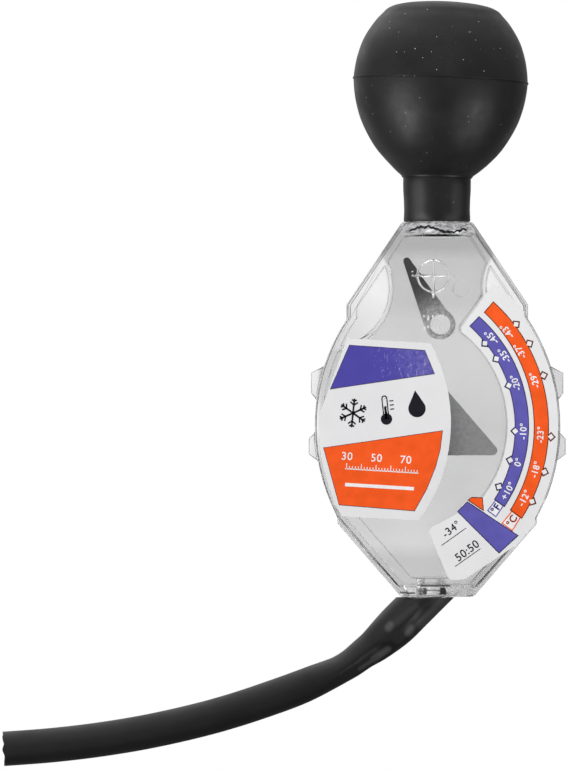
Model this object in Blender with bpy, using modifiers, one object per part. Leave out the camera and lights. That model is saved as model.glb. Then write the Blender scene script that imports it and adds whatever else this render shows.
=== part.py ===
"""Antifreeze tester: a clear two-part body with a swinging pointer, a rubber bulb and a hose.

Metres, +Z up. The origin is the middle of the squeeze bulb, where a hand holds the tester.
The dial faces -Y. Flat outlines are drawn in the XZ plane, as (x, z) pairs.
"""

import math

import bmesh
import bpy
from mathutils import Matrix, Vector

# Gaps
SEAT_GAP = 0.0003
FILM_GAP = 0.0001
OVERRUN = 0.002
MERGE = 0.000005
NEAREST_POINTS = 0.00005

# Fineness of round forms
BIG_ARC_TURN = math.radians(4)
SMALL_ARC_TURN = math.radians(22.5)
SHARP_ANGLE = math.radians(32)
FLAT_ANGLE = math.radians(0.1)
BULB_STEPS = 40
SPIGOT_STEPS = 32
PIN_STEPS = 20
HOSE_RING_RESOLUTION = 4
HOSE_RING_SIDES = 12
ROUTE_SAMPLES = 5

# Squeeze bulb
BULB_RADIUS = 0.02625
BULB_RISE = 0.0276
BULB_DROP = 0.0304
BULB_TOP = 0.0238
BULB_CAP_FALL = 0.0016
BULB_CAP_RINGS = 6
BULB_FLAT_RINGS = 2
BULB_SHOULDER_ROUND = 0.0085
BULB_WALL = 0.0023
BULB_RINGS = 9
NECK_RADIUS = 0.01005
NECK_FLARE = 0.0011
NECK_LENGTH = 0.0137

# Neck spigot
SPIGOT_WALL = 0.0020
SPIGOT_BORE_RADIUS = 0.0055
SPIGOT_LENGTH = 0.0116
SPIGOT_BARB = 0.0004
SPIGOT_BARB_SLOPE = 0.0019
SPIGOT_BARB_LIP = 0.0003
SPIGOT_BARB_PITCH = 0.0032
SPIGOT_BARBS = 3
COLLAR_MARGIN = 0.0004
COLLAR_DEPTH = 0.0034

# Body outline, down from the shoulder under the neck
SHOULDER_HALF_WIDTH = 0.01065
SHOULDER_ROUND = 0.0010
UPPER_EDGE_DROP = 0.0247
EAR_HALF_WIDTH = 0.0273
EAR_ROUND = 0.0015
EAR_TO_DIAL = 0.0365
DIAL_HALF_WIDTH = 0.0368
DIAL_ARC_RADIUS = 0.0585
DIAL_TO_CORNER = 0.0294
CORNER_HALF_WIDTH = 0.0299
CORNER_ROUND = 0.0006
LOWER_EDGE_DROP = 0.0219
BASE_HALF_WIDTH = 0.0109
BASE_ROUND = 0.0020

# Lugs on the rim: how far their middles lie below or above the dial's middle
LUG_OFFSETS = (0.0129, -0.0062)
LUG_LENGTHS = (0.0102, 0.0087)
LUG_REACHES = (0.0379, 0.0386)
LUG_END_SLOPE = 0.0020
LUG_DEPTH = 0.0022

# Shell sections
RIM_DEPTH = 0.0032
CASE_DEPTH = 0.0105
CASE_INSET = 0.0010
DIAL_INSET = 0.0003
CASE_EDGE = 0.0006
FACE_WALL = 0.0020
SIDE_WALL = 0.0020
LOWER_WALL = 0.0051
TOP_WALL = 0.0044
FLOOR_WALL = 0.0058
LOWER_SLOPE = 0.0022
BASE_DEPTH = 0.0068
BASE_SLOPE = 0.0036

# Inner walls
RIB = 0.0012
SCALLOP_RADIUS = 0.0190
SCALLOP_OUT = 0.03225
SCALLOP_ABOVE_DIAL = 0.0414
SCALE_WALL_RADIUS = 0.0353
SCALE_WALL_TOP = math.radians(54)
SCALE_WALL_LOW = math.radians(-43)
SCALE_WALL_ROUND = 0.0022

# Inlet port and hose nipple
PORT_OFFSET = -0.0018
PORT_RADIUS = 0.0043
PORT_FLOOR = 0.0016
NIPPLE_OFFSET = -0.0033
NIPPLE_SLOPE = math.radians(45)
NIPPLE_RADIUS = 0.0045
NIPPLE_BORE_RADIUS = 0.0027
NIPPLE_LENGTH = 0.0155
NIPPLE_TIP = 0.0016
NIPPLE_BARB = 0.00035
NIPPLE_BARB_SLOPE = 0.0012
NIPPLE_BARB_LIP = 0.0004
NIPPLE_BARB_PITCH = 0.0040
NIPPLE_BARBS = 3

# Density pointer, seen from its pivot: the tip at right, the tail at left
PIVOT_OFFSET = -0.01425
PIVOT_ABOVE_DIAL = 0.0003
POINTER_THICKNESS = 0.0018
POINTER_OFFSET = 0.0010
POINTER_TIP = 0.0342
POINTER_LOW = 0.00915
POINTER_EDGE_SLOPE = math.radians(49.2)
POINTER_CREST = 0.0194
POINTER_CREST_WIDTH = 0.0055
POINTER_CREST_FALL = 0.0028
POINTER_TAIL = 0.0142
POINTER_TAIL_TOP = 0.0020
POINTER_BACK_RISE = 0.0045
POINTER_BACK_OUT = 0.0050
POINTER_TIP_ROUND = 0.0015
POINTER_ROUND = 0.0022
POINTER_TAIL_ROUND = 0.0034
HUB_RADIUS = 0.0032
HUB_LENGTH = 0.0050
AXLE_RADIUS = 0.0010
AXLE_SOCKET = 0.0020
AXLE_BOSS_RADIUS = 0.0030
WEIGHT_RADIUS = 0.0029
WEIGHT_LENGTH = 0.0062
WEIGHT_EDGE = 0.0004
STOP_PIN_RADIUS = 0.0015
STOP_PIN_ALONG = 0.0140
POINTER_FALL = math.radians(30)

# Level arm
LEVEL_OFFSET = 0.00075
LEVEL_ABOVE_DIAL = 0.03045
LEVEL_HUB_RADIUS = 0.00435
LEVEL_STUD_RADIUS = 0.0030
LEVEL_ARM_LENGTH = 0.0216
LEVEL_TIP_RADIUS = 0.00105
LEVEL_LEAN = math.radians(27)
LEVEL_ARM_THICKNESS = 0.0024
LEVEL_ARM_OFFSET = 0.0027
STOP_BOSS_RADIUS = 0.00264
STOP_BOSS_OUT = 0.0066
STOP_BOSS_RISE = 0.01095

# Sighting circle, moulded inside the front face
SIGHT_OFFSET = -0.0021
SIGHT_RISE = 0.01455
SIGHT_RADIUS = 0.00477
SIGHT_LINE = 0.00035
SIGHT_RELIEF = 0.0003
SIGHT_ARM_LEFT = 0.0066
SIGHT_ARM_RIGHT = 0.0063
SIGHT_ARM_UP = 0.0048
SIGHT_ARM_DOWN = 0.0066

# Printed films
FILM = 0.00015
TITLE_TOP_LEFT = (-0.0272, 0.0263)
TITLE_TOP_RIGHT = (-0.0023, 0.02485)
TITLE_RIGHT_LOW = (-0.0058, -0.0281)
TITLE_LOW_LEFT = (-0.0322, -0.0268)
TITLE_RIGHT_RADIUS = 0.0490
TITLE_ROUND = 0.0008
TITLE_EDGE_INSET = 0.0012
BAND_INNER_RADIUS = 0.0351
BAND_WIDTH = 0.0174
BAND_TOP = math.radians(54)
BAND_LOW = math.radians(-41)
BAND_CORNER_ROUND = 0.0006
BAND_ROUND = 0.0015
BAND_EDGE_INSET = 0.0009
PANEL_START = (-0.0031, -0.0308)
PANEL_LOW = (0.0033, -0.0461)
PANEL_TURN = (0.0079, -0.0458)
PANEL_ROUND = 0.0020

# Hose
HOSE_RADIUS = 0.0052
HOSE_BORE_RADIUS = 0.0032
HOSE_STRETCHED_WALL = 0.0010
HOSE_TAPER = 0.0100
HOSE_ROUTE = (
    (-0.0226, -0.1727),
    (-0.0301, -0.1776),
    (-0.0409, -0.1827),
    (-0.0553, -0.1878),
    (-0.0697, -0.1920),
    (-0.0841, -0.1954),
    (-0.0985, -0.1978),
    (-0.1129, -0.1995),
    (-0.1304, -0.2010),
)

# Derived places
MID_GAP = SEAT_GAP / 2
NECK_JOIN_RADIUS = NECK_RADIUS + NECK_FLARE
NECK_TOP_Z = -BULB_DROP * math.sqrt(1 - (NECK_JOIN_RADIUS / BULB_RADIUS) ** 2) - NECK_FLARE
NECK_END_Z = NECK_TOP_Z - NECK_LENGTH
SHOULDER_Z = NECK_END_Z - SEAT_GAP
EAR_Z = SHOULDER_Z - UPPER_EDGE_DROP
DIAL_Z = EAR_Z - EAR_TO_DIAL
CORNER_Z = DIAL_Z - DIAL_TO_CORNER
BASE_Z = CORNER_Z - LOWER_EDGE_DROP
SPIGOT_RADIUS = SPIGOT_BORE_RADIUS + SPIGOT_WALL
CHAMBER_DEPTH = CASE_DEPTH - FACE_WALL
CHAMBER_FLOOR_Z = BASE_Z + FLOOR_WALL
PIVOT = (PIVOT_OFFSET, DIAL_Z + PIVOT_ABOVE_DIAL)
LEVEL_PIVOT = (LEVEL_OFFSET, DIAL_Z + LEVEL_ABOVE_DIAL)
BAND_OUTER_RADIUS = BAND_INNER_RADIUS + BAND_WIDTH
FILM_BACK = CASE_DEPTH + FILM_GAP
FILM_FACE = FILM_BACK + FILM
NIPPLE_ROOT = (NIPPLE_OFFSET, BASE_Z)
NIPPLE_RUN = (-math.sin(NIPPLE_SLOPE), -math.cos(NIPPLE_SLOPE))
HOSE_FLAT_SHARE = math.cos(math.pi / HOSE_RING_SIDES)
HOSE_STRETCHED_BORE = (NIPPLE_RADIUS + NIPPLE_BARB + SEAT_GAP) / HOSE_FLAT_SHARE
HOSE_STRETCHED_RADIUS = HOSE_STRETCHED_BORE + HOSE_STRETCHED_WALL


def clear_scene():
    for item in list(bpy.data.objects):
        bpy.data.objects.remove(item, do_unlink=True)


def new_collection(name):
    collection = bpy.data.collections.new(name)
    bpy.context.scene.collection.children.link(collection)
    return collection


clear_scene()
PARTS = new_collection("antifreeze_tester")
CUTTERS = new_collection("cutters")


def polar(centre, radius, angle):
    """The point at a distance and an angle from a centre."""
    return (centre[0] + radius * math.cos(angle), centre[1] + radius * math.sin(angle))


def arc(centre, radius, start, end, turn=SMALL_ARC_TURN):
    """Points along an arc, ends included."""
    count = max(2, math.ceil(abs(end - start) / turn))
    return [polar(centre, radius, start + (end - start) * i / count) for i in range(count + 1)]


def circle(centre, radius, steps=PIN_STEPS):
    return [polar(centre, radius, math.tau * i / steps) for i in range(steps)]


def shifted(line, distance):
    """A line, as two points, moved to the right-hand side of its direction."""
    start, end = Vector(line[0]), Vector(line[1])
    way = (end - start).normalized()
    side = Vector((way.y, -way.x)) * distance
    return (tuple(start + side), tuple(end + side))


def crossing(line, other):
    """The point where two lines, as pairs of points, meet."""
    start, way = Vector(line[0]), Vector(line[1]) - Vector(line[0])
    base, run = Vector(other[0]), Vector(other[1]) - Vector(other[0])
    share = (base - start).cross(run) / way.cross(run)
    return tuple(start + way * share)


def rounded(corners, closed=True):
    """An outline with its corners, given as (point, radius), turned into arcs."""
    points = []
    for i, (corner, radius) in enumerate(corners):
        at_end = not closed and i in (0, len(corners) - 1)
        if radius == 0 or at_end:
            points.append(corner)
            continue
        before = Vector(corners[i - 1][0]) - Vector(corner)
        after = Vector(corners[(i + 1) % len(corners)][0]) - Vector(corner)
        half = before.angle(after) / 2
        reach = min(radius / math.tan(half), before.length / 2, after.length / 2)
        radius = reach * math.tan(half)
        bisector = (before.normalized() + after.normalized()).normalized()
        middle = Vector(corner) + bisector * radius / math.sin(half)
        first = Vector(corner) + before.normalized() * reach - middle
        last = Vector(corner) + after.normalized() * reach - middle
        start = math.atan2(first.y, first.x)
        sweep = math.atan2(first.cross(last), first.dot(last))
        points += arc(tuple(middle), radius, start, start + sweep)
    return points


def mirrored(points):
    """The outline of both sides, from the right side's points, top to bottom."""
    return points + [(-x, z) for x, z in reversed(points)]


def strip(path, thickness):
    """The outline of a wall of one thickness along a path."""
    near, far = [], []
    for i, point in enumerate(path):
        before = Vector(path[max(i - 1, 0)])
        after = Vector(path[min(i + 1, len(path) - 1)])
        way = (after - before).normalized()
        side = Vector((way.y, -way.x)) * thickness / 2
        near.append(tuple(Vector(point) + side))
        far.append(tuple(Vector(point) - side))
    return near + far[::-1]


def as_mesh(item):
    """Replace a curve object by a welded mesh object in the same place."""
    bpy.context.view_layer.update()
    graph = bpy.context.evaluated_depsgraph_get()
    mesh = bpy.data.meshes.new_from_object(item.evaluated_get(graph))
    mesh.name = item.name
    welded = bmesh.new()
    welded.from_mesh(mesh)
    bmesh.ops.remove_doubles(welded, verts=welded.verts, dist=MERGE)
    bmesh.ops.recalc_face_normals(welded, faces=welded.faces)
    welded.to_mesh(mesh)
    welded.free()
    name, place, curve = item.name, item.matrix_world.copy(), item.data
    bpy.data.objects.remove(item)
    if isinstance(curve, bpy.types.Curve):
        bpy.data.curves.remove(curve)
    result = bpy.data.objects.new(name, mesh)
    result.matrix_world = place
    PARTS.objects.link(result)
    return result


def spaced(outline):
    """A closed outline without the points that nearly coincide with the one before."""
    return [point for i, point in enumerate(outline) if math.dist(point, outline[i - 1]) > NEAREST_POINTS]


def plate(name, outlines, near, far):
    """A flat solid between two depths along Y; outlines inside the first are its holes."""
    curve = bpy.data.curves.new(name, "CURVE")
    curve.dimensions = "2D"
    curve.fill_mode = "BOTH"
    curve.extrude = abs(far - near) / 2
    for outline in map(spaced, outlines):
        spline = curve.splines.new("POLY")
        spline.points.add(len(outline) - 1)
        for point, (x, z) in zip(spline.points, outline):
            point.co = (x, z, 0, 1)
        spline.use_cyclic_u = True
    item = bpy.data.objects.new(name, curve)
    item.rotation_euler = (math.pi / 2, 0, 0)
    item.location = (0, (near + far) / 2, 0)
    PARTS.objects.link(item)
    return as_mesh(item)


def turned(name, profile, steps, closed=False):
    """A body turned about its local Z axis from (radius, z) points that run down the outside."""
    mesh = bpy.data.meshes.new(name)
    edges = [(i, i + 1) for i in range(len(profile) - 1)]
    if closed:
        edges.append((len(profile) - 1, 0))
    mesh.from_pydata([(radius, 0, z) for radius, z in profile], edges, [])
    item = bpy.data.objects.new(name, mesh)
    PARTS.objects.link(item)
    screw = item.modifiers.new("turn", "SCREW")
    screw.axis = "Z"
    screw.steps = steps
    screw.render_steps = steps
    screw.use_merge_vertices = True
    screw.merge_threshold = MERGE
    screw.use_smooth_shade = False
    return item


def pin(name, centre, radius, near, far, steps=PIN_STEPS):
    """A round bar along Y between two depths."""
    bpy.ops.mesh.primitive_cylinder_add(vertices=steps, radius=radius, depth=abs(far - near))
    item = bpy.context.object
    item.name = name
    item.data.name = name
    item.rotation_euler = (math.pi / 2, 0, 0)
    item.location = (centre[0], (near + far) / 2, centre[1])
    for collection in list(item.users_collection):
        collection.objects.unlink(item)
    PARTS.objects.link(item)
    return item


def block(name, size, place):
    """A box of a given size, at a matrix."""
    bpy.ops.mesh.primitive_cube_add(size=1)
    item = bpy.context.object
    item.name = name
    item.data.name = name
    item.data.transform(Matrix.Diagonal((*size, 1)))
    item.matrix_world = place
    for collection in list(item.users_collection):
        collection.objects.unlink(item)
    PARTS.objects.link(item)
    return item


def combine(body, tools, operation):
    """Join tools to a body, or cut the body with them, in one step, and keep them as hidden guides."""
    step = body.modifiers.new(operation.lower(), "BOOLEAN")
    step.operation = operation
    step.solver = "EXACT"
    step.operand_type = "COLLECTION"
    step.collection = bpy.data.collections.new(f"{operation.lower()} of {body.name}")
    CUTTERS.children.link(step.collection)
    for tool in tools:
        tool.hide_render = True
        tool.display_type = "WIRE"
        PARTS.objects.unlink(tool)
        step.collection.objects.link(tool)


def join(body, *tools):
    combine(body, tools, "UNION")


def cut(body, *tools):
    combine(body, tools, "DIFFERENCE")


def clean_flats(mesh):
    """Weld points that nearly meet, and join the small faces that flat sides were cut into."""
    shape = bmesh.new()
    shape.from_mesh(mesh)
    bmesh.ops.remove_doubles(shape, verts=shape.verts, dist=MERGE)
    bmesh.ops.dissolve_limit(shape, angle_limit=FLAT_ANGLE, verts=shape.verts, edges=shape.edges)
    shape.to_mesh(mesh)
    shape.free()


def mirrored_depth(item):
    """Bake an object's modifiers and mirror it front to back."""
    bpy.context.view_layer.update()
    graph = bpy.context.evaluated_depsgraph_get()
    mesh = bpy.data.meshes.new_from_object(item.evaluated_get(graph))
    mesh.transform(Matrix.Diagonal((1, -1, 1, 1)) @ item.matrix_world)
    mesh.flip_normals()
    clean_flats(mesh)
    baked = bpy.data.objects.new(item.name, mesh)
    bpy.data.objects.remove(item)
    PARTS.objects.link(baked)
    return baked


def set_origin(item, place):
    """Put an object's origin on its joint's axis without moving its shape."""
    shift = Matrix.Translation(Vector(place))
    item.data.transform(shift.inverted() @ item.matrix_world)
    item.matrix_world = shift


def finish(item, name, colour, roughness, metallic=0.0, alpha=1.0):
    """Name a part and give it its own material."""
    item.name = name
    item.data.name = name
    material = bpy.data.materials.new(name)
    material.use_nodes = True
    shader = material.node_tree.nodes["Principled BSDF"]
    shader.inputs["Base Color"].default_value = (*colour, 1)
    shader.inputs["Roughness"].default_value = roughness
    shader.inputs["Metallic"].default_value = metallic
    shader.inputs["Alpha"].default_value = alpha
    material.diffuse_color = (*colour, alpha)
    item.data.materials.clear()
    item.data.materials.append(material)
    item.data.shade_smooth()
    item.data.set_sharp_from_angle(angle=SHARP_ANGLE)
    return item


# Outlines of the body
def dial_arc(inset, start, end):
    """The right-hand side arc of the dial between two angles, moved in by a distance."""
    centre = (DIAL_HALF_WIDTH - DIAL_ARC_RADIUS, DIAL_Z)
    return arc(centre, DIAL_ARC_RADIUS - inset, start, end, BIG_ARC_TURN)


def dial_arc_angle(inset, x):
    """The angle at which the right-hand arc, moved in, reaches a distance from the middle."""
    centre = DIAL_HALF_WIDTH - DIAL_ARC_RADIUS
    return math.acos((x - centre) / (DIAL_ARC_RADIUS - inset))


def arc_meets_line(inset, line):
    """The lower angle at which the right-hand arc, moved in, crosses a sloping line."""
    centre = Vector((DIAL_HALF_WIDTH - DIAL_ARC_RADIUS, DIAL_Z))
    start = Vector(line[0])
    way = (Vector(line[1]) - start).normalized()
    foot = start + way * (centre - start).dot(way)
    reach = (DIAL_ARC_RADIUS - inset) ** 2 - (foot - centre).length_squared
    if reach < 0:
        return -math.pi / 2
    hit = foot - way * math.sqrt(reach) - centre
    return math.atan2(hit.y, hit.x)


def body_outline(inset=0.0, dial_inset=0.0, lower_inset=0.0, top_inset=0.0, base_inset=0.0):
    """The body's outline, moved in by a distance on each kind of side."""
    top = ((0, SHOULDER_Z - top_inset), (SHOULDER_HALF_WIDTH, SHOULDER_Z - top_inset))
    upper = shifted(((SHOULDER_HALF_WIDTH, SHOULDER_Z), (EAR_HALF_WIDTH, EAR_Z)), inset)
    ear = ((EAR_HALF_WIDTH - inset, EAR_Z), (EAR_HALF_WIDTH - inset, DIAL_Z))
    corner = ((CORNER_HALF_WIDTH - dial_inset, DIAL_Z), (CORNER_HALF_WIDTH - dial_inset, CORNER_Z))
    lower = shifted(((CORNER_HALF_WIDTH, CORNER_Z), (BASE_HALF_WIDTH, BASE_Z)), lower_inset)
    base = ((0, BASE_Z + base_inset), (BASE_HALF_WIDTH, BASE_Z + base_inset))
    arc_top = dial_arc_angle(dial_inset, EAR_HALF_WIDTH - inset)
    arc_low = -dial_arc_angle(dial_inset, CORNER_HALF_WIDTH - dial_inset)
    line_low = arc_meets_line(dial_inset, lower)
    corners = [(crossing(top, upper), SHOULDER_ROUND), (crossing(upper, ear), EAR_ROUND)]
    if line_low > arc_low:
        corners += [(point, 0) for point in dial_arc(dial_inset, arc_top, line_low)]
    else:
        corners += [(point, 0) for point in dial_arc(dial_inset, arc_top, arc_low)]
        corners += [(crossing(corner, lower), CORNER_ROUND)]
    corners += [(crossing(lower, base), BASE_ROUND)]
    one_side = rounded([((0, SHOULDER_Z), 0)] + corners + [((0, BASE_Z), 0)], closed=False)
    return mirrored(one_side[1:-1])


def lug_outline(offset, length, reach, side):
    """A lug with sloping ends on the body's rim."""
    middle = DIAL_Z + offset
    root = EAR_HALF_WIDTH
    high, low = middle + length / 2, middle - length / 2
    rim_x = {z: dial_arc(0, dial_angle(z), 0)[0][0] for z in (high, low)}
    points = [
        (root, high),
        (rim_x[high], high),
        (reach, high - LUG_END_SLOPE),
        (reach, low + LUG_END_SLOPE),
        (rim_x[low], low),
        (root, low),
    ]
    return [(side * x, z) for x, z in points]


def dial_angle(z):
    """The angle on the right-hand arc at a height."""
    return math.asin((z - DIAL_Z) / DIAL_ARC_RADIUS)


# Inner walls of the body
def scallop_path(side):
    """The wall that bows into the chamber beside an ear."""
    centre = (side * SCALLOP_OUT, DIAL_Z + SCALLOP_ABOVE_DIAL)
    middle = math.pi if side > 0 else 0
    half_turn = math.pi / 2 + SMALL_ARC_TURN
    return arc(centre, SCALLOP_RADIUS - RIB / 2, middle - half_turn, middle + half_turn, BIG_ARC_TURN * 2)


def scale_wall_path():
    """The wall that closes the chamber beside the scale, with its two spokes."""
    radius = SCALE_WALL_RADIUS + RIB / 2
    outer = DIAL_ARC_RADIUS
    bend = arc(PIVOT, radius, SCALE_WALL_TOP, SCALE_WALL_LOW, BIG_ARC_TURN)
    lead = RIB + SCALE_WALL_ROUND
    corners = [(polar(PIVOT, BAND_OUTER_RADIUS - lead, SCALE_WALL_TOP), 0), (bend[0], SCALE_WALL_ROUND)]
    corners += [(point, 0) for point in bend[1:-1]]
    corners += [(bend[-1], SCALE_WALL_ROUND), (polar(PIVOT, outer - lead * 2, SCALE_WALL_LOW), 0)]
    return rounded(corners, closed=False)


def slope_cutter(name, start, end, deep, shallow):
    """A block that slopes off an edge: start and end are its ends, deep its inset on the face."""
    way = (Vector(end) - Vector(start)).normalized()
    inward = Vector((-way.y, way.x))
    edge = Vector((way.x, 0, way.y))
    rise = Vector((inward.x * deep, -(CASE_DEPTH - shallow), inward.y * deep)).normalized()
    normal = rise.cross(edge)
    if normal.y > 0:
        normal = -normal
    middle = (Vector(start) + Vector(end)) / 2
    seat = Vector((middle.x, -shallow, middle.y))
    length = (Vector(end) - Vector(start)).length + CASE_DEPTH * 2
    height = CASE_DEPTH * 2
    size = (length, height * 2, height)
    turn = Matrix((edge, rise, normal)).transposed()
    if turn.determinant() < 0:
        turn = Matrix((-edge, rise, normal)).transposed()
    place = Matrix.Translation(seat + normal * height / 2) @ turn.to_4x4()
    return block(name, size, place)


def round_face_edge(item):
    """Round the edge of a plate's front face."""
    mesh = item.data
    place = item.matrix_world
    front = min((place @ vertex.co).y for vertex in mesh.vertices)
    shape = bmesh.new()
    shape.from_mesh(mesh)
    weights = shape.edges.layers.float.new("bevel_weight_edge")
    for edge in shape.edges:
        on_front = all(abs((place @ vertex.co).y - front) < MERGE for vertex in edge.verts)
        levels = [abs(face.normal.z) for face in edge.link_faces]
        if on_front and min(levels) * 2 < 1:
            edge[weights] = 1
    shape.to_mesh(mesh)
    shape.free()
    bevel = item.modifiers.new("face edge", "BEVEL")
    bevel.limit_method = "WEIGHT"
    bevel.width = CASE_EDGE
    bevel.segments = 2


def spigot():
    """The barbed neck that the bulb is pushed over, with the collar that the bulb sits on."""
    top = SHOULDER_Z + SPIGOT_LENGTH
    profile = [(SPIGOT_BORE_RADIUS, top)]
    for i in range(SPIGOT_BARBS):
        tip = top - SPIGOT_BARB_PITCH * i
        profile.append((SPIGOT_RADIUS, tip))
        profile.append((SPIGOT_RADIUS + SPIGOT_BARB, tip - SPIGOT_BARB_SLOPE))
        profile.append((SPIGOT_RADIUS, tip - SPIGOT_BARB_SLOPE - SPIGOT_BARB_LIP))
    collar = NECK_RADIUS + COLLAR_MARGIN
    profile += [(SPIGOT_RADIUS, SHOULDER_Z), (collar, SHOULDER_Z)]
    profile += [(collar, SHOULDER_Z - COLLAR_DEPTH), (SPIGOT_BORE_RADIUS, SHOULDER_Z - COLLAR_DEPTH)]
    return turned("spigot", profile, SPIGOT_STEPS, closed=True)


def nipple_place(distance):
    """A matrix whose Z axis runs up the nipple's axis, at a distance down from its root."""
    run = Vector((NIPPLE_RUN[0], 0, NIPPLE_RUN[1]))
    start = Vector((NIPPLE_ROOT[0], 0, NIPPLE_ROOT[1])) + run * distance
    return Matrix.Translation(start) @ Matrix.Rotation(NIPPLE_SLOPE, 4, "Y")


def nipple():
    """The slanted barbed nipple, before its bore, with a root inside the base."""
    root = FLOOR_WALL - PORT_FLOOR
    tip = -NIPPLE_LENGTH
    lead = tip + NIPPLE_TIP
    profile = [(0, root), (NIPPLE_RADIUS, root)]
    for i in range(NIPPLE_BARBS, 0, -1):
        low = lead + NIPPLE_BARB_PITCH * (i - 1)
        profile.append((NIPPLE_RADIUS, low + NIPPLE_BARB_SLOPE + NIPPLE_BARB_LIP))
        profile.append((NIPPLE_RADIUS + NIPPLE_BARB, low + NIPPLE_BARB_SLOPE))
        profile.append((NIPPLE_RADIUS, low))
    profile += [((NIPPLE_RADIUS + NIPPLE_BORE_RADIUS) / 2, tip), (0, tip)]
    item = turned("nipple", profile, SPIGOT_STEPS)
    item.matrix_world = nipple_place(0)
    return item


def bored(name, radius, top, low, steps=SPIGOT_STEPS):
    """A round cutter along local Z between two heights."""
    return turned(name, [(0, top), (radius, top), (radius, low), (0, low)], steps)


def case_plate():
    """The raised front of the body, with its rounded edge and the slopes of its lower sides."""
    case_outline = body_outline(CASE_INSET, DIAL_INSET, CASE_INSET, DIAL_INSET, DIAL_INSET)
    case = plate("case", [case_outline], -CASE_DEPTH, -RIM_DEPTH / 2)
    round_face_edge(case)
    corner = (CORNER_HALF_WIDTH, CORNER_Z)
    foot = (BASE_HALF_WIDTH, BASE_Z)
    slopes = []
    for side in (-1, 1):
        ends = [(side * corner[0], corner[1]), (side * foot[0], foot[1])]
        if side > 0:
            ends.reverse()
        edge = shifted(ends, -CASE_INSET)
        slopes.append(slope_cutter(f"lower_slope_{side}", *edge, LOWER_SLOPE, RIM_DEPTH))
    base_edge = ((-BASE_HALF_WIDTH, BASE_Z), (BASE_HALF_WIDTH, BASE_Z))
    slopes.append(slope_cutter("base_slope", *base_edge, BASE_SLOPE, BASE_DEPTH))
    cut(case, *slopes)
    return case


def passages():
    """Cutters for the bores of the neck, the inlet port and the nipple."""
    neck_top = SHOULDER_Z + SPIGOT_LENGTH + OVERRUN
    neck = bored("neck_bore", SPIGOT_BORE_RADIUS, neck_top, SHOULDER_Z - TOP_WALL - OVERRUN)
    port = bored("port", PORT_RADIUS, CHAMBER_FLOOR_Z + OVERRUN, BASE_Z + PORT_FLOOR)
    port.location = (PORT_OFFSET, 0, 0)
    inlet = bored("nipple_bore", NIPPLE_BORE_RADIUS, FLOOR_WALL, -NIPPLE_LENGTH - OVERRUN)
    inlet.matrix_world = nipple_place(0)
    return neck, port, inlet


def lugs():
    """The four lugs on the rim, as a front half."""
    plates = []
    for i, (offset, length, reach) in enumerate(zip(LUG_OFFSETS, LUG_LENGTHS, LUG_REACHES)):
        for side in (-1, 1):
            outline = lug_outline(offset, length, reach, side)
            plates.append(plate(f"lug_{i}_{side}", [outline], -LUG_DEPTH, OVERRUN / 2))
    return plates


def inner_walls():
    """The walls inside the body that close off its ears and the space behind the scale."""
    walls = [("scallop_left", scallop_path(-1)), ("scallop_right", scallop_path(1))]
    walls.append(("scale_wall", scale_wall_path()))
    return [plate(name, [strip(path, RIB)], -CASE_DEPTH, OVERRUN * 2) for name, path in walls]


def half_body(name, inside, extra_cutters):
    """A half of the body with its face at -Y: inside is what stands in its hollow."""
    body = plate(name, [body_outline()], -RIM_DEPTH, OVERRUN)
    join(body, *lugs(), case_plate(), spigot(), nipple())
    inner = CASE_INSET + SIDE_WALL
    outline = body_outline(inner, DIAL_INSET + SIDE_WALL, CASE_INSET + LOWER_WALL, TOP_WALL, FLOOR_WALL)
    hollow = plate("hollow", [outline], -CHAMBER_DEPTH, OVERRUN * 1.5)
    cut(hollow, *inner_walls(), *inside)
    reach = SHOULDER_HALF_WIDTH + DIAL_HALF_WIDTH - BASE_Z
    place = Matrix.Translation((0, reach / 2 - MID_GAP, 0))
    behind = block("behind_mid_plane", (reach * 2, reach, reach * 4), place)
    cut(body, hollow, *passages(), behind, *extra_cutters)
    return body


def sight():
    """The moulded circle and cross lines that the full level arm points at."""
    centre = (LEVEL_PIVOT[0] + SIGHT_OFFSET, LEVEL_PIVOT[1] + SIGHT_RISE)
    near, far = -CHAMBER_DEPTH - FACE_WALL / 2, -CHAMBER_DEPTH + SIGHT_RELIEF
    half = SIGHT_LINE / 2
    rings = [circle(centre, SIGHT_RADIUS + side * half, SPIGOT_STEPS) for side in (1, -1)]
    ring = plate("sight_ring", rings, near, far)
    across = [(centre[0] - SIGHT_ARM_LEFT, centre[1]), (centre[0] + SIGHT_ARM_RIGHT, centre[1])]
    upright = [(centre[0], centre[1] + SIGHT_ARM_UP), (centre[0], centre[1] - SIGHT_ARM_DOWN)]
    lines = [("sight_across", across), ("sight_upright", upright)]
    join(ring, *[plate(name, [strip(path, SIGHT_LINE)], near, far) for name, path in lines])
    return ring


def pointer_near():
    """The depth of the pointer's front face."""
    return POINTER_OFFSET - POINTER_THICKNESS / 2


def front_shell():
    """The front half: boss and socket for the axle, collar for the level stud, sighting circle."""
    root = -CASE_DEPTH + FACE_WALL / 2
    hub_front = POINTER_OFFSET - HUB_LENGTH / 2
    boss = pin("front_boss", PIVOT, AXLE_BOSS_RADIUS, root, hub_front - SEAT_GAP)
    collar_rings = [
        circle(LEVEL_PIVOT, LEVEL_HUB_RADIUS),
        circle(LEVEL_PIVOT, LEVEL_STUD_RADIUS + SEAT_GAP),
    ]
    arm_front = LEVEL_ARM_OFFSET - LEVEL_ARM_THICKNESS / 2
    collar = plate("level_collar", collar_rings, root, arm_front - SEAT_GAP)
    socket_end = hub_front - AXLE_SOCKET - SEAT_GAP * 2
    socket = pin("front_socket", PIVOT, AXLE_RADIUS + SEAT_GAP, socket_end, OVERRUN)
    item = half_body("front_shell", [boss, collar, sight()], [socket])
    return finish(item, "front_shell", (0.86, 0.87, 0.88), 0.08, alpha=0.3)


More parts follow.
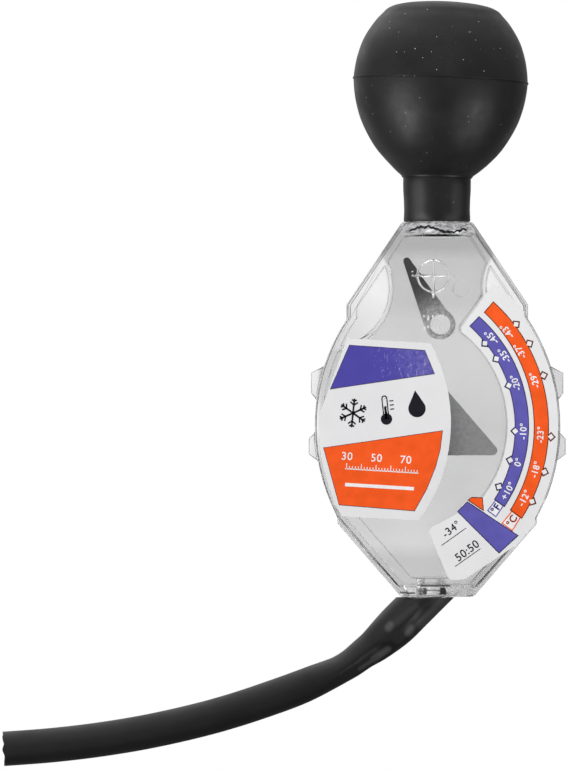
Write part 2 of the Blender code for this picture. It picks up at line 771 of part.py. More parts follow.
def back_shell():
    """The back half: boss and socket for the axle, the level arm's stud, stop boss and stop pin."""
    root = CASE_DEPTH - FACE_WALL / 2
    hub_back = POINTER_OFFSET + HUB_LENGTH / 2
    boss = pin("back_boss", PIVOT, AXLE_BOSS_RADIUS, -root, -hub_back - SEAT_GAP)
    arm_back = LEVEL_ARM_OFFSET + LEVEL_ARM_THICKNESS / 2
    shoulder = pin("level_shoulder", LEVEL_PIVOT, LEVEL_HUB_RADIUS, -root, -arm_back - SEAT_GAP)
    socket_end = -hub_back - AXLE_SOCKET - SEAT_GAP * 2
    socket = pin("back_socket", PIVOT, AXLE_RADIUS + SEAT_GAP, socket_end, OVERRUN)
    item = mirrored_depth(half_body("back_shell", [boss, shoulder], [socket]))
    stud = pin("level_stud", LEVEL_PIVOT, LEVEL_STUD_RADIUS, -CHAMBER_DEPTH + SEAT_GAP, root)
    stop = (LEVEL_PIVOT[0] + STOP_BOSS_OUT, LEVEL_PIVOT[1] + STOP_BOSS_RISE)
    stop_boss = pin("level_stop", stop, STOP_BOSS_RADIUS, -CHAMBER_DEPTH + SEAT_GAP, root)
    rest = pin("pointer_stop", stop_pin_centre(), STOP_PIN_RADIUS, pointer_near() - POINTER_THICKNESS, root)
    join(item, stud, stop_boss, rest)
    return finish(item, "back_shell", (0.84, 0.85, 0.86), 0.08, alpha=0.3)


def stop_pin_centre():
    """Where the pointer's straight lower edge comes to rest when the pointer has fallen."""
    away = polar(PIVOT, POINTER_LOW + STOP_PIN_RADIUS + SEAT_GAP, -math.pi / 2 - POINTER_FALL)
    return polar(away, STOP_PIN_ALONG, -POINTER_FALL)


def squeeze_bulb():
    """The hollow rubber bulb and its neck."""
    def wall_ring(offset, angle):
        rise = BULB_RISE if angle > 0 else BULB_DROP
        return ((BULB_RADIUS - offset) * math.cos(angle), (rise - offset) * math.sin(angle))

    top_angle = math.asin((BULB_TOP - BULB_CAP_FALL) / BULB_RISE)
    cap_radius = BULB_RADIUS * math.cos(top_angle)
    cap = [(0, BULB_TOP), (cap_radius * BULB_FLAT_RINGS / BULB_CAP_RINGS, BULB_TOP)]
    for i in range(BULB_FLAT_RINGS + 1, BULB_CAP_RINGS):
        share = i / BULB_CAP_RINGS
        cap.append((cap_radius * share, BULB_TOP - BULB_CAP_FALL * share ** 3))
    side = [wall_ring(0, top_angle * (1 - i / BULB_RINGS)) for i in range(BULB_RINGS)]
    corners = [(point, 0) for point in cap] + [(side[0], BULB_SHOULDER_ROUND)]
    corners += [(point, 0) for point in side[1:]]
    profile = rounded(corners, closed=False)
    low_angle = -math.acos(NECK_JOIN_RADIUS / BULB_RADIUS)
    profile += [wall_ring(0, low_angle * i / BULB_RINGS) for i in range(BULB_RINGS + 1)]
    profile += [(NECK_RADIUS, NECK_TOP_Z), (NECK_RADIUS, NECK_END_Z)]
    bore = SPIGOT_RADIUS + SPIGOT_BARB + SEAT_GAP
    profile += [(bore, NECK_END_Z), (bore, NECK_TOP_Z)]
    inner_low = -math.acos((bore + NECK_FLARE) / (BULB_RADIUS - BULB_WALL))
    inner_rings = BULB_RINGS // 2
    profile += [wall_ring(BULB_WALL, inner_low * (1 - i / inner_rings)) for i in range(inner_rings)]
    inner_top = math.asin((BULB_TOP - BULB_WALL) / (BULB_RISE - BULB_WALL))
    profile += [wall_ring(BULB_WALL, inner_top * i / inner_rings) for i in range(inner_rings + 1)]
    profile += [(0, BULB_TOP - BULB_WALL)]
    item = turned("squeeze_bulb", profile, BULB_STEPS)
    return finish(item, "squeeze_bulb", (0.025, 0.025, 0.027), 0.62)


def pointer_outline():
    """The fin: a straight lower edge, a sloping edge up from the tip, and a tail with the weight."""
    tip = (POINTER_TIP, -POINTER_LOW)
    crest_back = (POINTER_CREST + POINTER_LOW) / math.tan(POINTER_EDGE_SLOPE)
    crest = (POINTER_TIP - crest_back, POINTER_CREST)
    corners = [
        (tip, POINTER_TIP_ROUND),
        (crest, POINTER_ROUND),
        ((crest[0] - POINTER_CREST_WIDTH, POINTER_CREST - POINTER_CREST_FALL), POINTER_ROUND),
        ((-POINTER_BACK_OUT, POINTER_BACK_RISE), POINTER_TAIL_ROUND),
        ((-POINTER_TAIL, -POINTER_TAIL_TOP), POINTER_TAIL_ROUND),
        ((-POINTER_TAIL, -POINTER_LOW), POINTER_TAIL_ROUND),
    ]
    return [(PIVOT[0] + x, PIVOT[1] + z) for x, z in rounded(corners)]


def weight_centre():
    """The middle of the round tail, which holds the weight."""
    x = -POINTER_TAIL + POINTER_TAIL_ROUND
    z = -POINTER_LOW + POINTER_TAIL_ROUND
    return (PIVOT[0] + x, PIVOT[1] + z)


def density_pointer():
    near = pointer_near()
    item = plate("density_pointer", [pointer_outline()], near, near + POINTER_THICKNESS)
    half = HUB_LENGTH / 2
    join(item, pin("pointer_hub", PIVOT, HUB_RADIUS, POINTER_OFFSET - half, POINTER_OFFSET + half))
    through = (POINTER_OFFSET - half - OVERRUN, POINTER_OFFSET + half + OVERRUN)
    cut(item, pin("hub_bore", PIVOT, AXLE_RADIUS + SEAT_GAP, *through))
    seat = WEIGHT_RADIUS - WEIGHT_EDGE + SEAT_GAP
    cut(item, pin("weight_hole", weight_centre(), seat, *through))
    set_origin(item, (PIVOT[0], POINTER_OFFSET, PIVOT[1]))
    return finish(item, "density_pointer", (0.24, 0.24, 0.245), 0.45)


def balance_weight():
    """A metal slug with a waist that snaps into the pointer's tail."""
    half = WEIGHT_LENGTH / 2
    waist = WEIGHT_RADIUS - WEIGHT_EDGE
    slot = POINTER_THICKNESS / 2 + SEAT_GAP
    profile = [
        (0, half),
        (waist, half),
        (WEIGHT_RADIUS, half - WEIGHT_EDGE),
        (WEIGHT_RADIUS, slot),
        (waist, slot),
        (waist, -slot),
        (WEIGHT_RADIUS, -slot),
        (WEIGHT_RADIUS, -half + WEIGHT_EDGE),
        (waist, -half),
        (0, -half),
    ]
    item = turned("balance_weight", profile, PIN_STEPS)
    centre = weight_centre()
    item.rotation_euler = (math.pi / 2, 0, 0)
    item.location = (centre[0], POINTER_OFFSET, centre[1])
    return finish(item, "balance_weight", (0.62, 0.48, 0.22), 0.35, metallic=1.0)


def pointer_axle():
    half = HUB_LENGTH / 2 + SEAT_GAP + AXLE_SOCKET
    item = pin("pointer_axle", PIVOT, AXLE_RADIUS, POINTER_OFFSET - half, POINTER_OFFSET + half)
    return finish(item, "pointer_axle", (0.6, 0.6, 0.62), 0.3, metallic=1.0)


def level_arm():
    """A teardrop arm: a ring about the stud, tapering to a small round tip."""
    lean = math.pi / 2 + LEVEL_LEAN
    tip = polar(LEVEL_PIVOT, LEVEL_ARM_LENGTH, lean)
    side = math.acos((LEVEL_HUB_RADIUS - LEVEL_TIP_RADIUS) / LEVEL_ARM_LENGTH)
    outline = arc(LEVEL_PIVOT, LEVEL_HUB_RADIUS, lean + side, lean + math.tau - side)
    outline += arc(tip, LEVEL_TIP_RADIUS, lean - side, lean + side)
    hole = circle(LEVEL_PIVOT, LEVEL_STUD_RADIUS + SEAT_GAP)
    near = LEVEL_ARM_OFFSET - LEVEL_ARM_THICKNESS / 2
    item = plate("level_arm", [outline, hole], near, near + LEVEL_ARM_THICKNESS)
    set_origin(item, (LEVEL_PIVOT[0], LEVEL_ARM_OFFSET, LEVEL_PIVOT[1]))
    return finish(item, "level_arm", (0.075, 0.075, 0.08), 0.4)


def from_dial(point):
    """A point given from the dial's middle."""
    return (point[0], DIAL_Z + point[1])


def film(name, outline, inset):
    """A printed film on the front face, kept a distance inside the body's edge."""
    item = plate(name, [outline], -FILM_FACE, -FILM_BACK)
    within = body_outline(CASE_INSET + CASE_EDGE, inset, inset, inset, inset)
    limit = plate(name + "_limit", [within], -FILM_FACE - FILM, -FILM_BACK + FILM)
    combine(item, [limit], "INTERSECT")
    return item


def title_label():
    """The printed film on the left, bowed on its right edge and kept inside the body's edge."""
    top, low = Vector(from_dial(TITLE_TOP_RIGHT)), Vector(from_dial(TITLE_RIGHT_LOW))
    chord = low - top
    away = math.sqrt(TITLE_RIGHT_RADIUS ** 2 - chord.length_squared / 4)
    middle = (top + low) / 2 + Vector((chord.y, -chord.x)).normalized() * away
    first, last = top - middle, low - middle
    start = math.atan2(first.y, first.x)
    sweep = math.atan2(first.cross(last), first.dot(last))
    bow = arc(tuple(middle), TITLE_RIGHT_RADIUS, start, start + sweep, BIG_ARC_TURN)
    corners = [(from_dial(TITLE_TOP_LEFT), TITLE_ROUND), (bow[0], TITLE_ROUND)]
    corners += [(point, 0) for point in bow[1:-1]]
    corners += [(bow[-1], TITLE_ROUND), (from_dial(TITLE_LOW_LEFT), TITLE_ROUND)]
    corners += [((-DIAL_HALF_WIDTH, DIAL_Z), 0)]
    item = film("title_label", rounded(corners), TITLE_EDGE_INSET)
    return finish(item, "title_label", (0.86, 0.87, 0.9), 0.5)


def scale_label():
    """The printed film with the two bands, and the panel at their lower end."""
    outer = arc(PIVOT, BAND_OUTER_RADIUS, BAND_LOW, BAND_TOP, BIG_ARC_TURN)
    inner = arc(PIVOT, BAND_INNER_RADIUS, BAND_TOP, BAND_LOW, BIG_ARC_TURN)
    corners = [(point, 0) for point in outer[:-1]]
    corners += [(outer[-1], BAND_CORNER_ROUND), (inner[0], BAND_ROUND)]
    corners += [(point, 0) for point in inner[1:]]
    corners += [(from_dial(PANEL_START), BAND_ROUND), (from_dial(PANEL_LOW), PANEL_ROUND)]
    corners += [(from_dial(PANEL_TURN), PANEL_ROUND)]
    item = film("scale_label", rounded(corners), BAND_EDGE_INSET)
    return finish(item, "scale_label", (0.86, 0.87, 0.9), 0.5)


def smooth_route(points):
    """A smooth curve through the route's points, with even steps between each two."""
    route = []
    for i in range(len(points) - 1):
        p0 = Vector(points[max(i - 1, 0)])
        p1, p2 = Vector(points[i]), Vector(points[i + 1])
        p3 = Vector(points[min(i + 2, len(points) - 1)])
        for step in range(ROUTE_SAMPLES):
            t = step / ROUTE_SAMPLES
            bend = p1 * 2 + (p2 - p0) * t
            bend += (p0 * 2 - p1 * 5 + p2 * 4 - p3) * t ** 2
            bend += (p1 * 3 - p0 - p2 * 3 + p3) * t ** 3
            route.append(bend / 2)
    route.append(Vector(points[-1]))
    return route


def tube(name, route, radii):
    """A round tube along a route in the XZ plane, with a radius at each point."""
    curve = bpy.data.curves.new(name, "CURVE")
    curve.dimensions = "3D"
    curve.bevel_depth = 1
    curve.bevel_resolution = HOSE_RING_RESOLUTION
    curve.use_fill_caps = True
    spline = curve.splines.new("POLY")
    spline.points.add(len(route) - 1)
    for point, place, radius in zip(spline.points, route, radii):
        point.co = (place.x, 0, place.y, 1)
        point.radius = radius
    item = bpy.data.objects.new(name, curve)
    PARTS.objects.link(item)
    return as_mesh(item)


def intake_hose():
    """The hose: stretched over the nipple, then its own size, cut flush with the base."""
    root = Vector(NIPPLE_ROOT)
    run = Vector(NIPPLE_RUN)
    lead = root - run * HOSE_STRETCHED_RADIUS * 2
    sleeve_end = root + run * (NIPPLE_LENGTH - NIPPLE_TIP)
    route = smooth_route([lead, root, root + run * NIPPLE_LENGTH, *HOSE_ROUTE])
    lengths = [0]
    for before, after in zip(route, route[1:]):
        lengths.append(lengths[-1] + (after - before).length)
    sleeve = (sleeve_end - lead).length

    def blend(length, stretched, free):
        share = min(max((length - sleeve) / HOSE_TAPER, 0), 1)
        share = share * share * (3 - share * 2)
        return stretched + (free - stretched) * share

    outer_radii = [blend(length, HOSE_STRETCHED_RADIUS, HOSE_RADIUS) for length in lengths]
    item = tube("intake_hose", route, outer_radii)
    way_in = (route[0] - route[1]).normalized()
    way_out = (route[-1] - route[-2]).normalized()
    bore_route = [route[0] + way_in * OVERRUN, *route[1:-1], route[-1] + way_out * OVERRUN]
    bore_radii = [blend(length, HOSE_STRETCHED_BORE, HOSE_BORE_RADIUS) for length in lengths]
    cut(item, tube("hose_bore", bore_route, bore_radii))
    size = HOSE_STRETCHED_RADIUS * 8
    above = BASE_Z - SEAT_GAP + size / 2
    cut(item, block("above_base", (size, size, size), Matrix.Translation((NIPPLE_ROOT[0], 0, above))))
    return finish(item, "intake_hose", (0.02, 0.02, 0.021), 0.42)


def build():
    front_shell()
    back_shell()
    squeeze_bulb()
    density_pointer()
    balance_weight()
    pointer_axle()
    level_arm()
    title_label()
    scale_label()
    intake_hose()


build()
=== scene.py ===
"""Antifreeze tester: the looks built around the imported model.

Metres, +Z up, in the model's own frame: the dial faces -Y and the origin is the middle of the
squeeze bulb. Flat outlines are drawn in the XZ plane as (x, z) pairs, and spot() turns a pixel
of the photograph into such a pair.
"""

from functools import partial
from math import acos, atan2, ceil, cos, exp, pi, radians, sin, sqrt, tau

import bmesh
import bpy
from mathutils import Matrix, Vector, noise
from mathutils.bvhtree import BVHTree


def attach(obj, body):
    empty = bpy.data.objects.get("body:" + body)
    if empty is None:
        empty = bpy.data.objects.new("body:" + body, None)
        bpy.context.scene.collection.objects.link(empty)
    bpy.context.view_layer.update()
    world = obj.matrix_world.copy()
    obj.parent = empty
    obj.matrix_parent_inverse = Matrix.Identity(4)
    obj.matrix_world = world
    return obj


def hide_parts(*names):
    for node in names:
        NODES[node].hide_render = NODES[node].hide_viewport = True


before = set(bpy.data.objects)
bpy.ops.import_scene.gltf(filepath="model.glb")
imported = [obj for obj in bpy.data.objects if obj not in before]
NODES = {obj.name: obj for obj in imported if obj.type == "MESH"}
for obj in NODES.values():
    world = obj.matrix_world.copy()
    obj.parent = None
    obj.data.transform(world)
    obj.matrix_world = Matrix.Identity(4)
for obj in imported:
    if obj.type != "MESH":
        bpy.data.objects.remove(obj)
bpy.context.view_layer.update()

SCENE = bpy.context.scene

# The photograph: the size of a pixel in metres, the pixel of the model's origin, and its size in pixels
PIXEL = 0.0003
ORIGIN_PIXEL = (437.5, 80)
PHOTO_SIZE = (569, 770)
PHOTO_MIDDLE = (PHOTO_SIZE[0] / 2, PHOTO_SIZE[1] / 2)

# Camera: its distance from the mid plane, the depth in front of that plane where a pixel has its
# true size, and the width of its sensor in millimetres
CAMERA_DISTANCE = 1.5
TRUE_SCALE_DEPTH = 0.005
SENSOR = 24

# Places shared with the model: the body's foot, the neck's end, the right ear's middle, the pixels of
# the pivots, and the depths of the labels' face and of the front wall's inside
BASE_Z = -0.155121
NECK_END_Z = -0.042321
EAR = (0.03225, -0.0624)
PIVOT = (390, 425)
LEVEL_PIVOT = (440, 324.5)
FILM_FACE = 0.01075
FACE_INSIDE = 0.0085

# Thickness of a layer of ink, and depths of the layers, from the one next to the film to the topmost
INK = 0.00001
UNDER_DEPTH = FILM_FACE + INK
COLOUR_DEPTH = FILM_FACE + INK * 3
MARK_DEPTH = FILM_FACE + INK * 5
TOP_DEPTH = FILM_FACE + INK * 7

WHITE = (1.0, 1.0, 1.0)


def spot(px, py, depth=TRUE_SCALE_DEPTH):
    """The (x, z) place seen at a pixel of the photograph, at a depth in front of the mid plane."""
    share = (CAMERA_DISTANCE - depth) / (CAMERA_DISTANCE - TRUE_SCALE_DEPTH)
    across, down = PHOTO_MIDDLE
    x = across - ORIGIN_PIXEL[0] + (px - across) * share
    z = ORIGIN_PIXEL[1] - down - (py - down) * share
    return (x * PIXEL, z * PIXEL)


def film_spot(px, py):
    return spot(px, py, FILM_FACE)


def film_spots(*pixels):
    return [film_spot(*pixel) for pixel in pixels]


def link(item):
    SCENE.collection.objects.link(item)
    return item


# Materials
def add(tree, kind, values=None, **settings):
    """A node of a kind with its input values and its settings."""
    made = tree.nodes.new("ShaderNode" + kind)
    for key, value in settings.items():
        setattr(made, key, value)
    for key, value in (values or {}).items():
        made.inputs[key].default_value = value
    return made


def wire(source, target):
    target.id_data.links.new(source, target)


def shader_of(tree):
    return tree.nodes["Principled BSDF"]


def plain(name, colour, values):
    """A material with its main shader set, and its node tree."""
    material = bpy.data.materials.new(name)
    material.use_nodes = True
    material.diffuse_color = (*colour, 1)
    for key, value in {"Base Color": (*colour, 1), **values}.items():
        shader_of(material.node_tree).inputs[key].default_value = value
    return material, material.node_tree


def place_of(tree, stretch=(1, 1, 1), kind="Object"):
    """The place on the piece, in metres, stretched along its axes."""
    coordinates = add(tree, "TexCoord")
    mapping = add(tree, "Mapping", {"Scale": stretch})
    wire(coordinates.outputs[kind], mapping.inputs["Vector"])
    return mapping.outputs["Vector"]


def grain(tree, scale, detail, stretch=(1, 1, 1), distortion=0):
    """Soft noise with a number of waves to a metre."""
    values = {"Scale": scale, "Detail": detail, "Distortion": distortion}
    texture = add(tree, "TexNoise", values)
    wire(place_of(tree, stretch), texture.inputs["Vector"])
    return texture.outputs["Fac"]


def remap(source, from_low, from_high, to_low=0, to_high=1, smooth=False):
    """A value carried from one range to another, and held within it."""
    kind = "SMOOTHSTEP" if smooth else "LINEAR"
    values = {"From Min": from_low, "From Max": from_high, "To Min": to_low, "To Max": to_high}
    made = add(source.id_data, "MapRange", values, interpolation_type=kind)
    wire(source, made.inputs["Value"])
    return made.outputs["Result"]


def mottle(tree, scale, detail, low=0, high=1, between=(0.3, 0.7), **pattern):
    """Soft noise carried to a low and a high value, reached at two levels of the noise."""
    return remap(grain(tree, scale, detail, **pattern), *between, low, high)


def calculate(operation, *values):
    """Arithmetic on values, each a number or another node's output."""
    tree = next(value.id_data for value in values if not isinstance(value, (int, float)))
    made = add(tree, "Math", operation=operation)
    for socket, value in zip(made.inputs, values):
        if isinstance(value, (int, float)):
            socket.default_value = value
        else:
            wire(value, socket)
    return made.outputs["Value"]


def times(first, *others):
    for other in others:
        first = calculate("MULTIPLY", first, other)
    return first


plus, minus, larger, unsigned = (
    partial(calculate, kind) for kind in ("ADD", "SUBTRACT", "MAXIMUM", "ABSOLUTE"))


def blend(share, first, second):
    """A colour between two others, each a colour or another node's output."""
    made = add(share.id_data, "Mix", data_type="RGBA")
    wire(share, made.inputs["Factor"])
    for socket, value in zip((made.inputs[6], made.inputs[7]), (first, second)):
        if isinstance(value, tuple):
            socket.default_value = (*value, 1)
        else:
            wire(value, socket)
    return made.outputs[2]


def ramp(source, stops):
    """A grey colour that runs through stops of (value, level)."""
    low, high = stops[0][0], stops[-1][0]
    made = add(source.id_data, "ValToRGB")
    wire(remap(source, low, high, 0, 1), made.inputs["Fac"])
    elements = made.color_ramp.elements
    elements[0].color = (*[stops[0][1]] * 3, 1)
    elements[1].color = (*[stops[-1][1]] * 3, 1)
    for value, level in stops[1:-1]:
        elements.new((value - low) / (high - low)).color = (level, level, level, 1)
    return made.outputs["Color"]


def axes_of(tree, kind="Object"):
    """The place on the piece, or the direction in the world, as X, Y and Z."""
    split = add(tree, "SeparateXYZ")
    wire(place_of(tree, kind=kind), split.inputs["Vector"])
    return [split.outputs[axis] for axis in "XYZ"]


def diagonal(side, rise):
    """The length of a slanting line, from its two legs."""
    return calculate("SQRT", plus(times(side, side), times(rise, rise)))


def reach_from(across, height, centre):
    """The distance from a centre, seen from the front."""
    return diagonal(minus(across, centre[0]), minus(height, centre[1]))


def sheen_stroke(tree, start, end, half):
    """A soft mask for a painted sheen along a line seen from the front, from one pixel of the
    photograph to another.
    """
    first, last = Vector(spot(*start)), Vector(spot(*end))
    way = (last - first).normalized()
    across, _, height = axes_of(tree)
    side = minus(across, (first.x + last.x) / 2)
    rise = minus(height, (first.y + last.y) / 2)
    along = plus(times(side, way.x), times(rise, way.y))
    aside = minus(times(rise, way.x), times(side, way.y))
    past = minus(unsigned(along), (last - first).length / 2)
    reach = diagonal(larger(past, 0.0), aside)
    return remap(reach, half * PIXEL * 0.15, half * PIXEL, 1, 0, smooth=True)


def painted_sheens(colour, marks):
    """A colour with painted sheens, paler along lines of (start, end, half width, level)."""
    for start, end, half, level in marks:
        colour = blend(sheen_stroke(colour.id_data, start, end, half), colour, (level, level, level))
    return colour


def line_mask(value, middle, half, edge=0.00008):
    """1 within half a width of a middle, where middle and half may be node outputs."""
    return remap(minus(half, unsigned(minus(value, middle))), -edge, edge)


def paint(colour):
    wire(colour, shader_of(colour.id_data).inputs["Base Color"])


def roughen(value):
    wire(value, shader_of(value.id_data).inputs["Roughness"])


def emboss(tree, layers, under=None):
    """Bumps of soft noise, one over another, as (waves to a metre, detail, height, strength)."""
    for scale, detail, height, strength in layers:
        bump = add(tree, "Bump", {"Distance": height, "Strength": strength})
        wire(grain(tree, scale, detail), bump.inputs["Height"])
        if under is not None:
            wire(under, bump.inputs["Normal"])
        under = bump.outputs["Normal"]
    wire(under, shader_of(tree).inputs["Normal"])


def specks(tree, scale, size, rarity):
    """A mask of tiny round specks: scale cells to a metre, of which few hold one."""
    cells = add(tree, "TexVoronoi", {"Scale": scale, "Randomness": 1})
    wire(place_of(tree), cells.inputs["Vector"])
    near = calculate("LESS_THAN", cells.outputs["Distance"], size)
    split = add(tree, "SeparateColor")
    wire(cells.outputs["Color"], split.inputs["Color"])
    return times(near, calculate("GREATER_THAN", split.outputs["Red"], rarity))


# Dust, as (cells to a metre, radius in cells, share of cells left clean), its strength and its colour
FAINT_DUST = ((700, 0.07, 0.3), 0.4, (0.3, 0.3, 0.29))
BRIGHT_DUST = ((420, 0.067, 0.5), 0.75, (0.45, 0.45, 0.44))
HOSE_DUST = ((300, 0.03, 0.86), 1, (0.2, 0.2, 0.2))

# Painted sheens on the hose and the bulb's neck, in pixels, as (start, end, half width, level)
HOSE_SHEENS = (
    ((388, 649.5), (374, 659), 5.2, 0.095), ((378, 657), (360, 669), 3.4, 0.07),
    ((445, 600), (421, 625), 7.5, 0.074), ((411, 629), (409, 632), 7.0, 0.1),
    ((416, 606), (397, 622), 5.5, 0.034), ((390.5, 625), (388.5, 627.5), 6.0, 0.065),
)
NECK_SHEENS = (((417, 186), (418, 215), 10, 0.046), ((457, 188), (457, 212), 9, 0.034))

# Bumps, as (waves to a metre, detail, height, strength)
RUBBER_BUMPS = ((260, 3, 0.00014, 0.4), (2600, 2, 0.00003, 0.6))
VINYL_BUMPS = ((150, 2, 0.00025, 0.45), (1500, 2, 0.00002, 0.5))
CLEAR_BUMPS = ((95, 2, 0.0004, 0.25), (700, 2, 0.00003, 0.12))
FILM_BUMPS = ((1800, 2, 0.00001, 0.4),)
ARM_BUMPS = ((1200, 4, 0.00006, 0.5),)
POINTER_BUMPS = ((900, 4, 0.00005, 0.4),)


def dusty(colour, dust, area=1):
    """A colour under grains of dust, which are weaker outside an area."""
    grains, strength, shade = dust
    return blend(times(specks(colour.id_data, *grains), area, strength), colour, shade)


def rubber():
    """Matte black rubber with a faint mottling, painted sheens down the neck, and grains of dust
    gathered here and there.
    """
    material, tree = plain("bulb_rubber", (0.01, 0.01, 0.011), {"Specular IOR Level": 0.5})
    colour = blend(mottle(tree, 70, 5), (0.011, 0.011, 0.0115), (0.018, 0.018, 0.0185))
    # Painted sheens down both sides of the neck
    colour = painted_sheens(colour, NECK_SHEENS)
    area = mottle(tree, 55, 2, 0.15, 1, between=(0.42, 0.58))
    colour = dusty(colour, FAINT_DUST, area)
    paint(dusty(colour, BRIGHT_DUST))
    roughen(mottle(tree, 160, 4, 0.42, 0.56))
    emboss(tree, RUBBER_BUMPS)
    return material


def vinyl():
    """Black hose vinyl, faintly mottled and uneven, with painted sheens in places, and a little dust.
    """
    material, tree = plain("hose_vinyl", (0.008, 0.008, 0.009), {"Specular IOR Level": 0.5})
    colour = blend(mottle(tree, 60, 4), (0.014, 0.014, 0.015), (0.02, 0.02, 0.021))
    # Painted sheens where the hose bulges over the nipple and along its fold
    colour = painted_sheens(colour, HOSE_SHEENS)
    paint(dusty(colour, HOSE_DUST))
    roughen(mottle(tree, 110, 4, 0.42, 0.58))
    emboss(tree, VINYL_BUMPS)
    return material


# The level arm's shade away from its pivot, as (distance, level)
ARM_TONES = (
    (0.003, 0.56), (0.005, 0.46), (0.0072, 0.26), (0.0096, 0.12), (0.0112, 0.07), (0.0128, 0.03),
    (0.022, 0.02),
)

# Tint of the clear plastic down the body, and down its ears, as (z, level), with painted shade: darker
# under the bulb's neck and towards the ears' lower ends
TINT_AND_SHADE = (
    (-0.156, 0.765), (-0.144, 0.77), (-0.139, 0.86), (-0.131, 0.83), (-0.105, 0.81), (-0.092, 0.83),
    (-0.072, 0.825), (-0.067, 0.78), (-0.054, 0.77), (-0.05, 0.685), (-0.047, 0.685),
)
EAR_TINT_AND_SHADE = ((-0.082, 0.9), (-0.073, 0.935), (-0.064, 0.985), (-0.04, 0.985))

# Where the tint changes at the ears' rims and at the lugs, and where the painted light changes from the
# paler left lug to the darker right one
EAR_RIM = (0.0178, 0.019)
LUG_START = (0.0345, 0.0362)
LUG_LIGHT_CHANGE = (-0.01, 0.01)

# The frosted foot of the body: its top, and its end on each side
FROST_TOP = (-0.1495, -0.1487)
FROST_END = (0.0095, 0.0115)

# The crazed top wall: its foot, its end on each side, and its dark and pale streaks
CRAZED_FOOT = (-0.0468, -0.0464)
CRAZED_END = (0.0104, 0.0118)
CRAZED_SHADES = ((0.25, 0.25, 0.26), (0.68, 0.68, 0.69))

# Painted highlights on it: their middles, how much wider than tall, and the reach where they fade
GLARES = ((-0.0027, -0.0453), (0.0052, -0.0457))
GLARE_SHAPE = 4
GLARE_FADE = (0.0016, 0.0026)

# The jagged line along it, with its waves in radians to a metre, the painted highlight line below, and
# the dark lens between them, which thins with the square of the distance from the middle
JAGGED_Z = -0.045
JAGGED_WAVES = 419
JAGGED_SWING = 0.0008
JAGGED_HALF = 0.00036
BRIGHT_Z = -0.04725
BRIGHT_HALF = 0.0002
LENS_Z = -0.0467
LENS_HALF = 0.00032
LENS_FALL = -5.5
LINES_END = (0.0082, 0.0094)


def crazing(tree, across, height, colour, solid):
    """The jagged glints and dark lines of the body's top wall, under the bulb's neck, with painted
    highlights.
    """
    side = unsigned(across)
    zone = times(remap(height, *CRAZED_FOOT, smooth=True), remap(side, *CRAZED_END, 1, 0, smooth=True))
    streak = mottle(tree, 520, 5, between=(0.4, 0.6), stretch=(1, 0, 2.4), distortion=1.6)
    broken = remap(streak, 0, 0.5, 0.35, 1)
    stretched = times(height, GLARE_SHAPE)
    glint = blend(streak, *CRAZED_SHADES)
    # Painted highlights: two white glares
    for x, z in GLARES:
        glare = reach_from(across, stretched, (x, z * GLARE_SHAPE))
        glare = times(remap(glare, *GLARE_FADE, 1, 0), broken)
        glint = blend(glare, glint, WHITE)
    colour = blend(zone, colour, glint)
    rough = mottle(tree, 900, 3, -0.0004, 0.0004, stretch=(1, 0, 0.3))
    wave = calculate("SINE", times(across, JAGGED_WAVES))
    wave = plus(minus(JAGGED_Z, times(wave, JAGGED_SWING)), rough)
    within = remap(side, *LINES_END, 1, 0)
    jagged = times(line_mask(height, wave, JAGGED_HALF), within)
    colour = blend(jagged, colour, (0.02, 0.02, 0.02))
    # A painted highlight line below the jagged line
    bright = times(line_mask(height, BRIGHT_Z, BRIGHT_HALF), within)
    colour = blend(bright, colour, WHITE)
    milky = larger(times(zone, 0.8), solid)
    wire(minus(1, milky), shader_of(tree).inputs["Transmission Weight"])
    lens = plus(times(across, across, LENS_FALL), LENS_HALF)
    return blend(line_mask(height, LENS_Z, lens), colour, (0.01, 0.01, 0.01))


# Marks painted on the foot of the body: painted shade where the hose and the port's edges show dark
# through it, and a painted highlight; as (middle, half size, colour) with x and z in metres
FOOT_SHADE_AND_HIGHLIGHTS = (
    ((-0.0009, -0.15155), (0.0046, 0.00022), (0.03, 0.03, 0.03)),
    ((-0.0089, -0.1538), (0.0021, 0.00022), (0.03, 0.03, 0.03)),
    ((0.0016, -0.1533), (0.0009, 0.0013), (0.06, 0.06, 0.06)),
    ((-0.0039, -0.1531), (0.00045, 0.001), (0.16, 0.16, 0.16)),
    ((-0.0061, -0.1532), (0.00028, 0.0009), WHITE),
)

# The painted highlight along the foot's rim: its middle, half width, and least and greatest half height
RIM_HIGHLIGHT = (-0.0028, -0.15455)
RIM_HIGHLIGHT_HALF = 0.0086
RIM_HIGHLIGHT_HEIGHTS = (0.00012, 0.0004)


def foot_shade_and_highlights(tree, across, height, colour):
    """The foot's colour with its painted shade and highlight marks and the painted highlight along its
    rim, and a mask of both.
    """
    ragged = plus(across, mottle(tree, 900, 3, -0.00025, 0.00025, (0.35, 0.65), stretch=(1, 0, 0.4)))
    solid = 0.0
    # Painted shade where the hose and the port's edges show through, and a painted white highlight
    for (x, z), (wide, tall), shade in FOOT_SHADE_AND_HIGHLIGHTS:
        side = line_mask(ragged, x, wide, 0.0002)
        mask = times(side, line_mask(height, z, tall, 0.0001))
        colour = blend(mask, colour, shade)
        solid = larger(mask, solid)
    tall = mottle(tree, 1100, 2, *RIM_HIGHLIGHT_HEIGHTS, between=(0.35, 0.65), stretch=(1, 0, 0))
    rim_highlight = times(line_mask(height, RIM_HIGHLIGHT[1], tall), line_mask(across, RIM_HIGHLIGHT[0], RIM_HIGHLIGHT_HALF))
    solid = times(larger(rim_highlight, solid), 0.85)
    return blend(rim_highlight, colour, WHITE), solid


